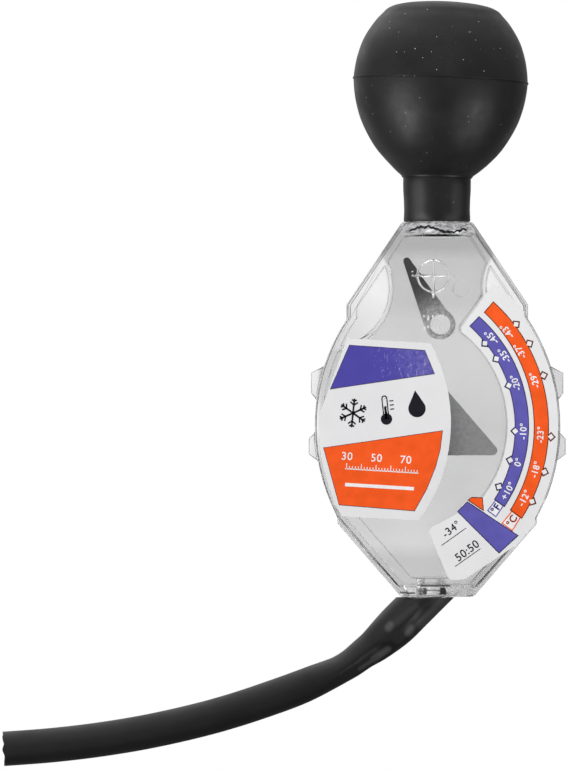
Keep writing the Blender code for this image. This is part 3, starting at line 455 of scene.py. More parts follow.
def clear_plastic(name, front):
    """Clear moulded plastic, a little smoky and wavy, with painted shade by height and at the lugs, and
    the front's painted shade and highlights where it is the front.
    """
    values = {"Transmission Weight": 1, "IOR": 1.5, "Roughness": 0.04}
    material, tree = plain(name, (0.78, 0.78, 0.785), values)
    across, _, height = axes_of(tree)
    side = unsigned(across)
    ear = remap(reach_from(side, height, EAR), *EAR_RIM, 1, 0, smooth=True)
    # Painted shade that changes with height, in the body and in the ears
    colour = blend(ear, ramp(height, TINT_AND_SHADE), ramp(height, EAR_TINT_AND_SHADE))
    # Painted light: the left lug is painted paler than the right one
    lug_light = blend(remap(across, *LUG_LIGHT_CHANGE), WHITE, (0.86, 0.86, 0.865))
    colour = blend(remap(side, *LUG_START, smooth=True), colour, lug_light)
    colour = blend(mottle(tree, 45, 4, 0, 0.22, (0.35, 0.65)), colour, (0.62, 0.62, 0.63))
    if front:
        colour, solid = foot_shade_and_highlights(tree, across, height, colour)
        colour = crazing(tree, across, height, colour, solid)
    paint(colour)
    frost = times(remap(height, *FROST_TOP, 1, 0), remap(side, *FROST_END, 1, 0, smooth=True))
    roughen(remap(frost, 0, 1, 0.04, 0.22))
    edges = add(tree, "Bevel", {"Radius": 0.00045}, samples=6)
    emboss(tree, CLEAR_BUMPS, edges.outputs["Normal"])
    return material


PRINT_SHINE = {"Roughness": 0.4, "Specular IOR Level": 0.3}

# The worn ink of the title's blue panel: how far its wear leans, and where it and the scratches set in
WEAR_LEAN = 0.25
WEAR_START = (-0.0385, -0.0225)
SCRATCH_START = (-0.0425, -0.034)


def shaded(colour, factor, lift=0.0):
    """A colour made darker or paler by a factor, and lifted."""
    return tuple(min(level * factor + lift, 1) for level in colour)


def film(name, level):
    """White printed film with a faint grain."""
    material, tree = plain(name, (level, level, level), {"Roughness": 0.38, "Specular IOR Level": 0.3})
    low, high = level - 0.02, level + 0.02
    paint(blend(mottle(tree, 120, 4), (low, low, low + 0.01), (high, high, high + 0.01)))
    emboss(tree, FILM_BUMPS)
    return material


def ink(name, colour):
    """Printed ink, slightly uneven."""
    material, tree = plain(name, colour, PRINT_SHINE)
    deep, pale = shaded(colour, 0.9), shaded(colour, 1.06, 0.004)
    paint(blend(mottle(tree, 260, 4), deep, pale))
    return material


def scuffed_ink(name, colour, worn):
    """Printed ink rubbed pale towards the right, with fine scratches."""
    material, tree = plain(name, colour, PRINT_SHINE)
    across, _, height = axes_of(tree)
    slant = plus(across, times(height, WEAR_LEAN))
    area = remap(slant, *WEAR_START, smooth=True)
    patchy = mottle(tree, 650, 5, 0.25, 1, (0.4, 0.62), stretch=(1, 1, 0.8), distortion=0.8)
    shade = blend(times(area, patchy), colour, worn)
    marks = mottle(tree, 800, 5, 0, 0.85, (0.6, 0.69), stretch=(1.6, 1, 0.7), distortion=1.2)
    marks = times(marks, remap(slant, *SCRATCH_START))
    shade = blend(marks, shade, (0.42, 0.4, 0.72))
    paint(blend(mottle(tree, 200, 4, 0, 0.25), shade, shaded(colour, 0.7)))
    return material


def arm_plastic(pivot):
    """The level arm's plastic: smoky at its hub, and nearly black towards its tip."""
    values = {"Roughness": 0.35, "Specular IOR Level": 0.15}
    material, tree = plain("level_dark", (0.04, 0.04, 0.042), values)
    across, _, height = axes_of(tree)
    colour = ramp(reach_from(across, height, pivot), ARM_TONES)
    cloud = mottle(tree, 1300, 5, 0, 0.55, between=(0.38, 0.62))
    paint(blend(cloud, colour, (0.03, 0.03, 0.032)))
    emboss(tree, ARM_BUMPS)
    return material


def pointer_plastic():
    """The pointer's opaque grey plastic, with a fine spark-eroded texture."""
    low, high = (0.225, 0.225, 0.23), (0.285, 0.285, 0.29)
    material, tree = plain("pointer_grey", low, {"Roughness": 0.5})
    paint(blend(mottle(tree, 900, 5, between=(0.35, 0.65)), low, high))
    roughen(mottle(tree, 300, 3, 0.44, 0.56))
    emboss(tree, POINTER_BUMPS)
    return material


def metal(name, colour, roughness):
    """Turned metal with fine rings and a little tarnish."""
    material, tree = plain(name, colour, {"Metallic": 1, "Roughness": roughness})
    paint(blend(mottle(tree, 700, 4), shaded(colour, 0.75), colour))
    roughen(mottle(tree, 300, 3, roughness - 0.08, roughness + 0.1, stretch=(1, 12, 1)))
    return material


# Shapes. Figures are printed in so many copies, a little apart, for bolder strokes
BOLD_COPIES = 8


def finished(name, shape, material, sharp):
    """A piece from a shape, which is used up; smooth up to a turn of so many degrees."""
    mesh = bpy.data.meshes.new(name)
    shape.to_mesh(mesh)
    shape.free()
    mesh.shade_smooth()
    mesh.set_sharp_from_angle(angle=radians(sharp))
    mesh.materials.append(material)
    return link(bpy.data.objects.new(name, mesh))


def merged(name, meshes, material):
    """One piece from several meshes, which are used up."""
    shape = bmesh.new()
    for mesh in meshes:
        shape.from_mesh(mesh)
        bpy.data.meshes.remove(mesh)
    return finished(name, shape, material, 30)


def curve_mesh(curve, place):
    """The mesh of a curve or text, which is used up, moved by a matrix."""
    item = link(bpy.data.objects.new("draft", curve))
    bpy.context.view_layer.update()
    graph = bpy.context.evaluated_depsgraph_get()
    mesh = bpy.data.meshes.new_from_object(item.evaluated_get(graph))
    mesh.transform(place)
    bpy.data.objects.remove(item)
    bpy.data.curves.remove(curve)
    return mesh


def flat(outlines, depth=MARK_DEPTH, thickness=INK):
    """A thin plate facing -Y at a depth in front of the mid plane; later outlines are holes."""
    curve = bpy.data.curves.new("draft", "CURVE")
    curve.dimensions = "2D"
    curve.fill_mode = "BOTH"
    curve.extrude = thickness / 2
    for outline in outlines:
        spline = curve.splines.new("POLY")
        spline.points.add(len(outline) - 1)
        for point, (x, z) in zip(spline.points, outline):
            point.co = (x, z, 0, 1)
        spline.use_cyclic_u = True
    turn = Matrix.Translation((0, -depth, 0)) @ Matrix.Rotation(pi / 2, 4, "X")
    return curve_mesh(curve, turn)


def printed(text, centre, angle, height, depth, weight):
    """Figures centred on a place, read along an angle, with a cap height and strokes made bolder."""
    curve = bpy.data.curves.new("draft", "FONT")
    curve.body = text
    curve.space_character = 1.08
    curve.fill_mode = "FRONT"
    mesh = curve_mesh(curve, Matrix.Identity(4))
    xs = [vertex.co.x for vertex in mesh.vertices]
    ys = [vertex.co.y for vertex in mesh.vertices]
    middle = Vector((max(xs) + min(xs), max(ys) + min(ys), 0)) / 2
    mesh.transform(Matrix.Scale(height / (max(ys) - min(ys)), 4) @ Matrix.Translation(-middle))
    along = Vector((cos(angle), 0, sin(angle)))
    up = Vector((-sin(angle), 0, cos(angle)))
    turn = Matrix((along, up, along.cross(up))).transposed().to_4x4()
    bold = bmesh.new()
    for i in range(BOLD_COPIES):
        copy = mesh.copy()
        shift = Vector((*polar((0, 0), weight, tau * i / BOLD_COPIES), 0))
        place = Vector((centre[0], -depth - i * INK / 12, centre[1]))
        copy.transform(Matrix.Translation(place) @ turn @ Matrix.Translation(shift))
        bold.from_mesh(copy)
        bpy.data.meshes.remove(copy)
    bold.to_mesh(mesh)
    bold.free()
    return mesh


def polar(centre, radius, angle):
    return (centre[0] + radius * cos(angle), centre[1] + radius * sin(angle))


def arc(centre, radius, start, end, step=radians(2)):
    count = max(2, ceil(abs(end - start) / step))
    return [polar(centre, radius, start + (end - start) * i / count) for i in range(count + 1)]


def arc_between(centre, start, end):
    """An arc about a centre from one place to the angle of another, the short way."""
    first, last = Vector(start) - Vector(centre), Vector(end) - Vector(centre)
    begin = atan2(first.y, first.x)
    sweep = atan2(first.cross(last), first.dot(last))
    return arc(centre, (first.length + last.length) / 2, begin, begin + sweep)


def inset(outline, distance):
    """A closed outline moved in by a distance; it may run either way round."""
    count = len(outline)
    turns = sum(a[0] * b[1] - b[0] * a[1] for a, b in zip(outline, outline[1:] + outline[:1]))
    side = 1 if turns > 0 else -1
    moved = []
    for i, point in enumerate(outline):
        before = (Vector(point) - Vector(outline[i - 1])).normalized()
        after = (Vector(outline[(i + 1) % count]) - Vector(point)).normalized()
        first = Vector((-before.y, before.x)) * side
        second = Vector((-after.y, after.x)) * side
        middle = (first + second).normalized()
        moved.append(Vector(point) + middle * distance / max(middle.dot(first), 0.3))
    return moved


def ring(outline, width):
    """A line of a width inside a closed outline."""
    return [outline, inset(outline, width)]


def stroke(path, width):
    """A line of a width along an open path, as one outline."""
    near, far = [], []
    for i, point in enumerate(path):
        before = Vector(path[max(i - 1, 0)])
        after = Vector(path[min(i + 1, len(path) - 1)])
        way = (after - before).normalized()
        side = Vector((way.y, -way.x)) * width / 2
        near.append(Vector(point) + side)
        far.append(Vector(point) - side)
    return near + far[::-1]


def smooth_line(points, samples):
    """A smooth curve through points, with the same number of steps between each two."""
    line = []
    for i in range(len(points) - 1):
        p0, p1 = Vector(points[max(i - 1, 0)]), Vector(points[i])
        p2, p3 = Vector(points[i + 1]), Vector(points[min(i + 2, len(points) - 1)])
        for step in range(samples):
            t = step / samples
            bend = p1 * 2 + (p2 - p0) * t
            bend += (p0 * 2 - p1 * 5 + p2 * 4 - p3) * t ** 2
            bend += (p1 * 3 - p0 - p2 * 3 + p3) * t ** 3
            line.append(bend / 2)
    line.append(Vector(points[-1]))
    return line


def skin(name, rings, material, sharp):
    """A closed skin over rings of points, whose first and last rings are flat ends."""
    count = len(rings[0])
    points = [point for loop in rings for point in loop]
    faces = [tuple(range(count))[::-1]]
    for i in range(len(rings) - 1):
        for j in range(count):
            k = (j + 1) % count
            faces.append((i * count + j, i * count + k, (i + 1) * count + k, (i + 1) * count + j))
    faces.append(tuple((len(rings) - 1) * count + j for j in range(count)))
    mesh = bpy.data.meshes.new("draft")
    mesh.from_pydata([tuple(point) for point in points], [], faces)
    shape = bmesh.new()
    shape.from_mesh(mesh)
    bpy.data.meshes.remove(mesh)
    bmesh.ops.recalc_face_normals(shape, faces=shape.faces)
    return finished(name, shape, material, sharp)


def make_camera():
    """A level camera, square to the dial, as far away as the bulb's seam shows."""
    camera = bpy.data.cameras.new("camera")
    item = link(bpy.data.objects.new("camera", camera))
    x, z = spot(*PHOTO_MIDDLE)
    item.location = (x, -CAMERA_DISTANCE, z)
    item.rotation_euler = (pi / 2, 0, 0)
    camera.sensor_width = SENSOR
    camera.lens = SENSOR * (CAMERA_DISTANCE - TRUE_SCALE_DEPTH) / (PHOTO_SIZE[1] * PIXEL)
    camera.clip_start = 0.05
    camera.clip_end = 20
    SCENE.camera = item


# Hose: its middle and its half height all along, in pixels
HOSE_LINE = (
    (427, 596.6, 20.6), (413, 610.6, 20.6), (399, 624.6, 20.6), (388.6, 634.4, 19.6),
    (375.2, 646.2, 17.3), (363.3, 654.8, 15.5), (351.8, 663.6, 14.6), (340.8, 670.2, 14.3),
    (331.6, 674.7, 14.9), (315, 682, 16.3), (300, 688.4, 17), (280, 695.9, 17.3),
    (240, 709.5, 17.3), (200, 720.9, 17.3), (150, 732.2, 17.3), (100, 740.6, 17.3),
    (50, 746.5, 17.3), (3.5, 750, 17.3),
)
HOSE_FREE = 0.0052
HOSE_BORE = 0.0032
HOSE_TOP_Z = BASE_Z - 0.0003
HOSE_SIDES = 64

# Furrows over the nipple, as (angle, width, depth, turning), and the lengths where they start and end
FURROWS = ((0.56, 0.2, 0.055, 3), (-0.3, 0.15, 0.055, 15))
FURROWS_START = (-0.001, 0.004)
FURROWS_END = (0.012, 0.022)

# The fold below the nipple: the angle its flat side faces, how far the crease lies past it, and the
# lengths where it starts and ends
FACET = -0.6
CREASE = 0.56
FOLD_START = (0.0155, 0.02)
FOLD_END = (0.03, 0.042)

# The bore's rings at the cut end, as (depth, widening)
BORE_RINGS = ((0, 1.06), (0.0004, 1), (0.011, 1))


def soft_step(value, low, high):
    share = min(max((value - low) / (high - low), 0), 1)
    return share * share * (3 - 2 * share)


def hump(value, width):
    """A smooth bump of height 1 about 0."""
    return exp(-(value / width) ** 2)


def turn_between(first, second):
    return (first - second + pi) % tau - pi


def held(length, start, end):
    """1 between the lengths where something starts and ends, and 0 well outside them."""
    return soft_step(length, *start) * (1 - soft_step(length, *end))


def hose_skin(half, length, angle):
    """How far the skin stands to the front and upwards: angle 0 faces -Y, a quarter turn faces up."""
    deep = half
    if half < HOSE_FREE:
        deep = sqrt(2 * HOSE_FREE ** 2 - half ** 2)
    stretched = held(length, FURROWS_START, FURROWS_END)
    share = 1
    for middle, width, depth, turning in FURROWS:
        share -= depth * stretched * hump(turn_between(angle, middle - length * turning), width)
    fold = held(length, FOLD_START, FOLD_END)
    facet = cos(turn_between(angle, FACET))
    if facet > 0:
        share = min(share, (1 - 0.14 * fold) / max(facet, 0.01))
    share -= 0.035 * fold * hump(turn_between(angle, FACET + CREASE), 0.09)
    return (deep * share * cos(angle), half * share * sin(angle))


def make_hose(material):
    """The hose: stretched over the nipple, folded where it leaves it, then round to its cut end."""
    line = smooth_line([(*spot(px, py), half * PIXEL) for px, py, half in HOSE_LINE], 6)
    centres = [Vector((point.x, 0, point.y)) for point in line]
    lengths = [0]
    for before, after in zip(centres, centres[1:]):
        lengths.append(lengths[-1] + (after - before).length)
    rings = []
    for i, (centre, length) in enumerate(zip(centres, lengths)):
        way = (centres[min(i + 1, len(centres) - 1)] - centres[max(i - 1, 0)]).normalized()
        up = Vector((-way.z, 0, way.x))
        if up.z < 0:
            up = -up
        loop = []
        for j in range(HOSE_SIDES):
            front, rise = hose_skin(line[i].z, length, tau * j / HOSE_SIDES)
            point = centre + Vector((0, -front, 0)) + up * rise
            if point.z > HOSE_TOP_Z or i == 0:
                point += way * (HOSE_TOP_Z - point.z) / way.z
            loop.append(point)
        rings.append(loop)
    end, way = centres[-1], (centres[-1] - centres[-2]).normalized()
    rings[-1] = [point + way * 0.0007 * noise.noise(point * 500) for point in rings[-1]]
    for depth, widening in BORE_RINGS:
        shrink = HOSE_BORE / HOSE_FREE * widening
        rings.append([end + (point - end) * shrink - way * depth for point in rings[len(centres) - 1]])
    item = skin("hose_tube", rings, material, 40)
    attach(item, "tester_body")
    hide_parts("intake_hose")


# Bulb: half widths down the outside, as (z, radius) in millimetres, with the seam's ridge
BULB_TOP = (
    (23.75, 0), (23.74, 3.4), (23.62, 6.4), (23.3, 9.6), (22.95, 12.0), (22.35, 14.55),
    (21.6, 16.2), (21, 17.1), (19.8, 18.2), (18, 19.85), (15, 21.95), (12, 23.6), (9, 24.7),
    (6, 25.5), (3, 25.98), (0.7, 26.2),
)
BULB_SEAM = ((0.42, 26.2), (0.34, 26.42), (0.1, 26.47), (-0.14, 26.42), (-0.22, 26.2))
BULB_LOW = (
    (-0.7, 26.19), (-3, 25.98), (-6, 25.5), (-9, 24.75), (-12, 23.75), (-15, 22.35),
    (-18, 20.65), (-21, 18.6), (-24, 15.9), (-27, 12.75), (-28.4, 11.0), (-28.95, 10.62),
)
BULB_NECK = (
    (-29.15, 10.56), (-29.3, 10.2), (-31, 10.2), (-33, 10.17), (-36, 9.98), (-39, 9.9),
    (-42.1, 10.03), (-42.32, 9.9),
)
BULB_WALL = 2.3
NECK_BORE = 8.2
NECK_BORE_TOP = -29
BULB_SIDES = 144

# The bulb's lean, the height that it turns about, and the heights between which it sets in
BULB_LEAN = radians(2.1)
LEAN_ROOT = -0.0295
LEAN_HEIGHTS = (-0.0335, -0.0245)


def leaned(point):
    """A point of the bulb as it hangs: the part above the neck leans a little to the right."""
    root = Vector((0, 0, LEAN_ROOT))
    share = soft_step(point.z, *LEAN_HEIGHTS)
    return root + Matrix.Rotation(BULB_LEAN * share, 3, "Y") @ (point - root)


def make_bulb(material):
    """The bulb with its neck: the outside from the top down, then the inside back up."""
    def fine(part, samples):
        return [(point.x, point.y) for point in smooth_line([(*pair, 0) for pair in part], samples)]

    profile = fine(BULB_TOP, 3) + list(BULB_SEAM) + fine(BULB_LOW, 3) + list(BULB_NECK)
    profile += [(NECK_END_Z * 1000, NECK_BORE), (NECK_BORE_TOP, NECK_BORE)]
    low = [(z, radius - BULB_WALL) for z, radius in fine(BULB_LOW, 1)[::-1]]
    profile += [pair for pair in low if pair[1] > NECK_BORE]
    for z, radius in BULB_TOP[::-1]:
        if z > 3:
            profile.append((z - BULB_WALL, max(radius - BULB_WALL, 0.05)))
    rings = []
    for z, radius in profile:
        loop = []
        for j in range(BULB_SIDES):
            x, y = polar((0, 0), max(radius, 0.02) / 1000, tau * j / BULB_SIDES)
            loop.append(leaned(Vector((x, y, z / 1000))))
        rings.append(loop)
    item = skin("rubber_bulb", rings, material, 34)
    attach(item, "tester_body")
    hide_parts("squeeze_bulb")


# Printed bands, in pixels: outer arc's centre, inner arc's centre, outer ends and inner ends
ORANGE_BAND = (
    (379.7, 426.7), (377.7, 426.9), ((493.9, 301.6), (520.9, 517.3)), ((483.9, 313.2), (511.8, 510.6)),
)
BLUE_BAND = (
    (383.3, 426.0), (379.3, 427.4), ((479.3, 316.7), (503.9, 505.8)), ((469.8, 326.6), (495.5, 499.7)),
)

# The boxes of the two units at the bands' ends, the block below them and the wedge beside it
CELSIUS_BOX = ((501.5, 523.3), (512.4, 531.2), (520.9, 517.3), (511.8, 510.6))
FAHRENHEIT_BOX = ((487, 510.6), (496, 517.3), (503.9, 505.8), (495.5, 499.7))
BLUE_BLOCK = ((467.3, 501.2), (518.7, 535.5), (499, 553.5), (457, 511.5))
ORANGE_WEDGE = ((467.3, 500.2), (471.6, 496.9), (482.7, 497.4), (483.9, 511.2))

# Corner of the scale film under the wedge and the block, up to the film's own edge, in pixels
SCALE_CORNER = (
    (458.5, 513.05), (457, 511.5), (467.3, 500.2), (471.6, 496.9), (483, 497.4), (479, 502.3),
)
FILM_THICKNESS = 0.00015

# Figures on the bands: text, pixel of its middle, its angle about the pivot
BLUE_FIGURES = (
    ("-45°", (491.3, 337.2), 40.9), ("-35°", (504.1, 355.3), 31.4), ("-20°", (515.3, 382.7), 18.7),
    ("-10°", (523, 431.4), -2.8), ("0°", (517.9, 462.3), -16.3), ("+10°", (507.6, 490.9), -29.3),
)
ORANGE_FIGURES = (
    ("-43°", (506.7, 331.2), 38.8), ("-37°", (519.6, 351), 29.7), ("-29°", (534.2, 380.1), 17.3),
    ("-23°", (540.2, 434.8), -3.7), ("-18°", (535.4, 469.5), -17), ("-12°", (523.9, 498.1), -28.6),
)

# Diamonds: radius in pixels and angles about the pivot, and half their width, with and without line
BLUE_DIAMONDS = (124.8, (40.7, 31.9, 18.4, -2.8, -16.3, -29.5))
ORANGE_DIAMONDS = (160.7, (38.6, 30.3, 17.9, -4.2, -16.9, -28.3))
DIAMOND = 0.0015
DIAMOND_INSIDE = 0.00092

# Title panels and the bar on the orange one, in pixels
TITLE_BLUE = ((349.2, 344.8), (425, 350), (434.9, 373.9), (329.8, 389.4))
TITLE_ORANGE = (
    (323.2, 447.5), (442.9, 430.3), (440.6, 449), (435.9, 466.9), (427, 489), (414.7, 511.2),
    (338.9, 505.1),
)
TITLE_BAR = ((345, 484.5), (414, 488.7))

# Widths of the printed lines, the bands' spread over their measured edges, the figures' boldness
LINE = 0.0002
BOX_LINE = LINE * 1.6
BAND_SPREAD = 0.00022
FIGURE_WEIGHT = 0.00006


def band(shape):
    """The outline of a printed band between its two arcs."""
    outer_centre, inner_centre, outer_ends, inner_ends = shape
    outer = arc_between(film_spot(*outer_centre), *film_spots(*outer_ends))
    inner = arc_between(film_spot(*inner_centre), *film_spots(*inner_ends))
    return inset(outer + inner[::-1], -BAND_SPREAD)


def diamond(radius, degrees, half):
    """A square standing on its corner, at a radius and an angle about the pivot."""
    angle = radians(degrees)
    middle = polar(film_spot(*PIVOT), radius * PIXEL, angle)
    return [polar(middle, half, angle + pi / 2 * i) for i in range(4)]


def label(name, meshes, material):
    item = merged(name, meshes, material)
    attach(item, "tester_body")


def make_scale_print(inks):
    """Bands, diamonds, figures and blocks on the scale label, and the corner of its film."""
    corner = flat([film_spots(*SCALE_CORNER)], FILM_FACE - FILM_THICKNESS / 2, FILM_THICKNESS)
    label("scale_corner", [corner], inks["film"])
    whites = []
    for colour, shape, block, pixels, (radius, angles) in (
        ("blue", BLUE_BAND, BLUE_BLOCK, FAHRENHEIT_BOX, BLUE_DIAMONDS),
        ("orange", ORANGE_BAND, ORANGE_WEDGE, CELSIUS_BOX, ORANGE_DIAMONDS),
    ):
        outlines, box = [band(shape), film_spots(*block)], film_spots(*pixels)
        meshes = [flat([outline], COLOUR_DEPTH) for outline in outlines]
        meshes.append(flat(ring(box, BOX_LINE)))
        lines = [flat(ring(outline, LINE * 1.25)) for outline in outlines]
        whites.append(flat([inset(box, BOX_LINE)]))
        for degrees in angles:
            lines.append(flat([diamond(radius, degrees, DIAMOND)], UNDER_DEPTH))
            whites.append(flat([diamond(radius, degrees, DIAMOND_INSIDE)], TOP_DEPTH))
        label(f"scale_{colour}", meshes, inks["scale_" + colour])
        label(f"scale_{colour}_lines", lines, inks["line_" + colour])
    for text, middle, degrees in BLUE_FIGURES + ORANGE_FIGURES:
        angle = radians(degrees + 90)
        whites.append(printed(text, film_spot(*middle), angle, 0.00198, TOP_DEPTH, FIGURE_WEIGHT))
    label("scale_figures", whites, inks["white"])
    for name, text, box in (("unit_low", "°F", FAHRENHEIT_BOX), ("unit_high", "°C", CELSIUS_BOX)):
        middle = film_spot(sum(x for x, _ in box) / 4, sum(y for _, y in box) / 4)
        run = Vector(film_spot(*box[2])) - Vector(film_spot(*box[1]))
        angle = atan2(run.y, run.x)
        mesh = printed(text, middle, angle, 0.0022, TOP_DEPTH, FIGURE_WEIGHT * 1.5)
        label(name, [mesh], inks[name])


def make_panel_print(inks):
    """The mixing figures and two rules on the white end of the scale label."""
    dark = []
    for text, middle in (("-34°", (451, 529)), ("50:50", (467, 550.5))):
        place = film_spot(*middle)
        dark.append(printed(text, place, radians(37), 0.0024, MARK_DEPTH, FIGURE_WEIGHT / 2))
    for rule in (((441.5, 545.5), (466, 528)), ((455, 566.5), (480.5, 548.5))):
        dark.append(flat([stroke(film_spots(*rule), LINE)]))
    label("panel_figures", dark, inks["black"])


# The signs: the angle of the frost sign's branches; the half width, the bulb's radius and the line of
# the thermometer; and the reach of the drop's tip in radii
FROST_SPREAD = radians(52)
TUBE = 0.0009
TUBE_BULB = 0.0017
TUBE_LINE = 0.00035
DROP_TIP = 2.1


def snowflake(middle, reach, width):
    """Outlines of a six-armed frost sign."""
    outlines = []
    for i in range(6):
        angle = radians(60 * i + 24)
        outlines.append(stroke([middle, polar(middle, reach, angle)], width))
        for side in (-FROST_SPREAD, FROST_SPREAD):
            for share, length in ((0.55, 0.34), (0.8, 0.22)):
                root = polar(middle, reach * share, angle)
                outlines.append(stroke([root, polar(root, reach * length, angle + side)], width * 0.8))
    return outlines


def thermometer(foot, tilt, length):
    """Outlines of a thermometer sign: its tube, its bulb, its level and three ticks."""
    head = polar(foot, length, tilt)
    across = tilt - pi / 2
    tube = [polar(foot, TUBE, across), polar(head, TUBE, across)]
    tube += arc(head, TUBE, across, across + pi, radians(20))
    tube.append(polar(foot, TUBE, across + pi))
    level = stroke([foot, polar(foot, length * 0.62, tilt)], 0.0007)
    outlines = [ring(tube, TUBE_LINE), [arc(foot, TUBE_BULB, 0, tau - 0.1, radians(12))], [level]]
    for share in (0.45, 0.65, 0.85):
        root = polar(polar(foot, length * share, tilt), 0.0014, across)
        outlines.append([stroke([root, polar(root, 0.0012, across)], TUBE_LINE)])
    return outlines


def drop(middle, radius, tilt):
    """Outline of a drop sign."""
    tip = polar(middle, radius * DROP_TIP, tilt)
    lean = acos(1 / DROP_TIP)
    return [tip] + arc(middle, radius, tilt + lean, tilt + tau - lean, radians(10))


# The title's small scale, and the tilt of the signs above it
SCALE_STEP = 0.00088
SCALE_STEPS = 25
SIGN_TILT = radians(96)


def make_title_print(inks):
    """Panels, a small plain scale and plain signs on the title label."""
    blue, orange = film_spots(*TITLE_BLUE), film_spots(*TITLE_ORANGE)
    label("title_blue", [flat([blue], COLOUR_DEPTH)], inks["title_blue"])
    label("title_orange", [flat([orange], COLOUR_DEPTH)], inks["title_orange"])
    lines = [flat(ring(outline, LINE * 0.8)) for outline in (blue, orange)]
    label("title_lines", lines, inks["line"])
    white = [flat([stroke(film_spots(*TITLE_BAR), 0.00102)])]
    low, high = film_spots((341, 458), (431, 463.5))
    along = (Vector(high) - Vector(low)).normalized()
    up = Vector((-along.y, along.x))
    angle = atan2(along.y, along.x)
    start = Vector(film_spot(342, 468.5))
    along *= SCALE_STEP
    for i in range(SCALE_STEPS):
        root = start + along * (i + 1.5)
        tick = [root, root + up * (0.0009 if i % 5 else 0.0017)]
        white.append(flat([stroke(tick, 0.00024)]))
        if i % 10 == 0:
            place, text = root + up * 0.0038, str(i // 10 * 20 + 30)
            white.append(printed(text, place, angle, 0.0023, MARK_DEPTH, FIGURE_WEIGHT / 2))
    white.append(flat([stroke([start + along, start + along * (SCALE_STEPS + 1)], 0.0003)]))
    label("title_white", white, inks["white"])
    signs = [[outline] for outline in snowflake(film_spot(353, 413), 0.0043, 0.00055)]
    signs += thermometer(film_spot(386.5, 419), SIGN_TILT, 0.0062)
    signs.append([drop(film_spot(417, 408.5), 0.0026, SIGN_TILT)])
    label("title_signs", [flat(outlines) for outlines in signs], inks["black"])


# Lines moulded in the clear front, in pixels: the sighting circle and the stop boss, as (middle,
# radius, arcs in degrees), and ticks, as (start, end, width) and as (x, top, foot, width)
MOULDED_CIRCLES = (
    ((433.3, 276.7), 15.2, ((100, 273), (-46, 50))),
    ((462, 288.3), 9.2, ((-50, 12), (205, 235))),
)
SIGHT_UPRIGHT = ((433.2, 261.2), (433.2, 292))
LEVEL_TICKS = (
    ((412, 275.2), (413.6, 275.2), 1.1), ((415.2, 275.3), (422.3, 275.5), 0.7),
    ((411.6, 271.7), (413.2, 271.7), 1.2),
)
UPRIGHT_TICKS = (
    (433.1, 292, 297.6, 1.3), (423.9, 315.2, 317, 1.5), (428, 315.2, 320.2, 1.5),
    (432.8, 315.2, 319.8, 1.5), (436, 316.5, 320.2, 1.4), (438.9, 315.2, 318.5, 1.4),
    (442, 315.2, 320.2, 1.4), (445.3, 316, 319.8, 1.3), (424.5, 326.5, 330.4, 2.2),
    (428, 325.6, 328, 1.5), (433.9, 326, 330.6, 1.9), (437.8, 327.2, 330.6, 1.4),
    (442.1, 325.6, 330.6, 1.5),
)
MOULDED_DEPTH = FACE_INSIDE - 0.00034
MOULDED_WIDTH = 0.00026
MOULDED_THICKNESS = 0.00006


def make_sight(faint, bright):
    """White lines and ticks moulded on the inside of the front face, in three layers."""
    def inside(pixel):
        return spot(*pixel, MOULDED_DEPTH)

    def line(path, width, layer):
        return flat([stroke(path, width)], MOULDED_DEPTH - 0.0001 * layer, MOULDED_THICKNESS)

    marks = []
    for middle, radius, arcs in MOULDED_CIRCLES:
        for first, last in arcs:
            ends = (radians(first), radians(last))
            path = arc(inside(middle), radius * PIXEL, *ends, radians(6))
            marks.append(line(path, MOULDED_WIDTH, 0))
    marks.append(line([inside(pixel) for pixel in SIGHT_UPRIGHT], MOULDED_WIDTH, 1))
    bright_ticks = LEVEL_TICKS + tuple(((x, y), (x, end), wide) for x, y, end, wide in UPRIGHT_TICKS)
    ticks = [line([inside(start), inside(end)], wide * PIXEL, 2) for start, end, wide in bright_ticks]
    for name, parts, material in (("sight_marks", marks, faint), ("sight_ticks", ticks, bright)):
        item = merged(name, parts, material)
        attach(item, "tester_body")


# Body: the model's clear halves with their edges rounded
EDGE_ROUND = 0.00015
WELD = 0.000005


def make_shell(name, source):
    """A clear half of the body, its shape taken from the model and its sharp edges rounded."""
    node = NODES[source]
    shape = bmesh.new()
    shape.from_mesh(node.data)
    shape.transform(node.matrix_world)
    bmesh.ops.remove_doubles(shape, verts=shape.verts, dist=WELD)
    model = BVHTree.FromBMesh(shape)
    sharp = [edge for edge in shape.edges if edge.calc_face_angle(0) > radians(28)]
    bmesh.ops.bevel(shape, geom=sharp, offset=EDGE_ROUND, offset_type="OFFSET", segments=2, profile=0.5,
                    affect="EDGES", clamp_overlap=False)
    for vertex in shape.verts:
        nearest, _, _, distance = model.find_nearest(vertex.co)
        if distance > EDGE_ROUND / 2:
            vertex.co = nearest
    material = clear_plastic(name + "_plastic", source == "front_shell")
    item = finished(name, shape, material, 34)
    item.modifiers.new("even", "WEIGHTED_NORMAL").keep_sharp = True
    item.visible_shadow = False
    item.visible_diffuse = False
    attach(item, "tester_body")
    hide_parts(source)


# Lights, all aimed at one place: name, azimuth and elevation in degrees, distance, size, radiance,
# and whether it gives the sheens or the matte light
LIGHTS = (
    ("key", -57, -28, 0.9, (0.5, 0.6), 6.5, True),
    ("fill", 54, -34, 0.9, (0.45, 0.55), 5.0, True),
    ("front", -8, 42, 1.3, (0.9, 0.9), 6.9, False),
)
LIT_PLACE = Vector((0, 0, -0.09))

# The floor's middle, its radius, and the radii between which it fades
FLOOR_PLACE = (-0.045, 0, -0.238)
FLOOR_RADIUS = 0.42
FLOOR_FADE = (FLOOR_RADIUS * 0.55, FLOOR_RADIUS * 0.98)


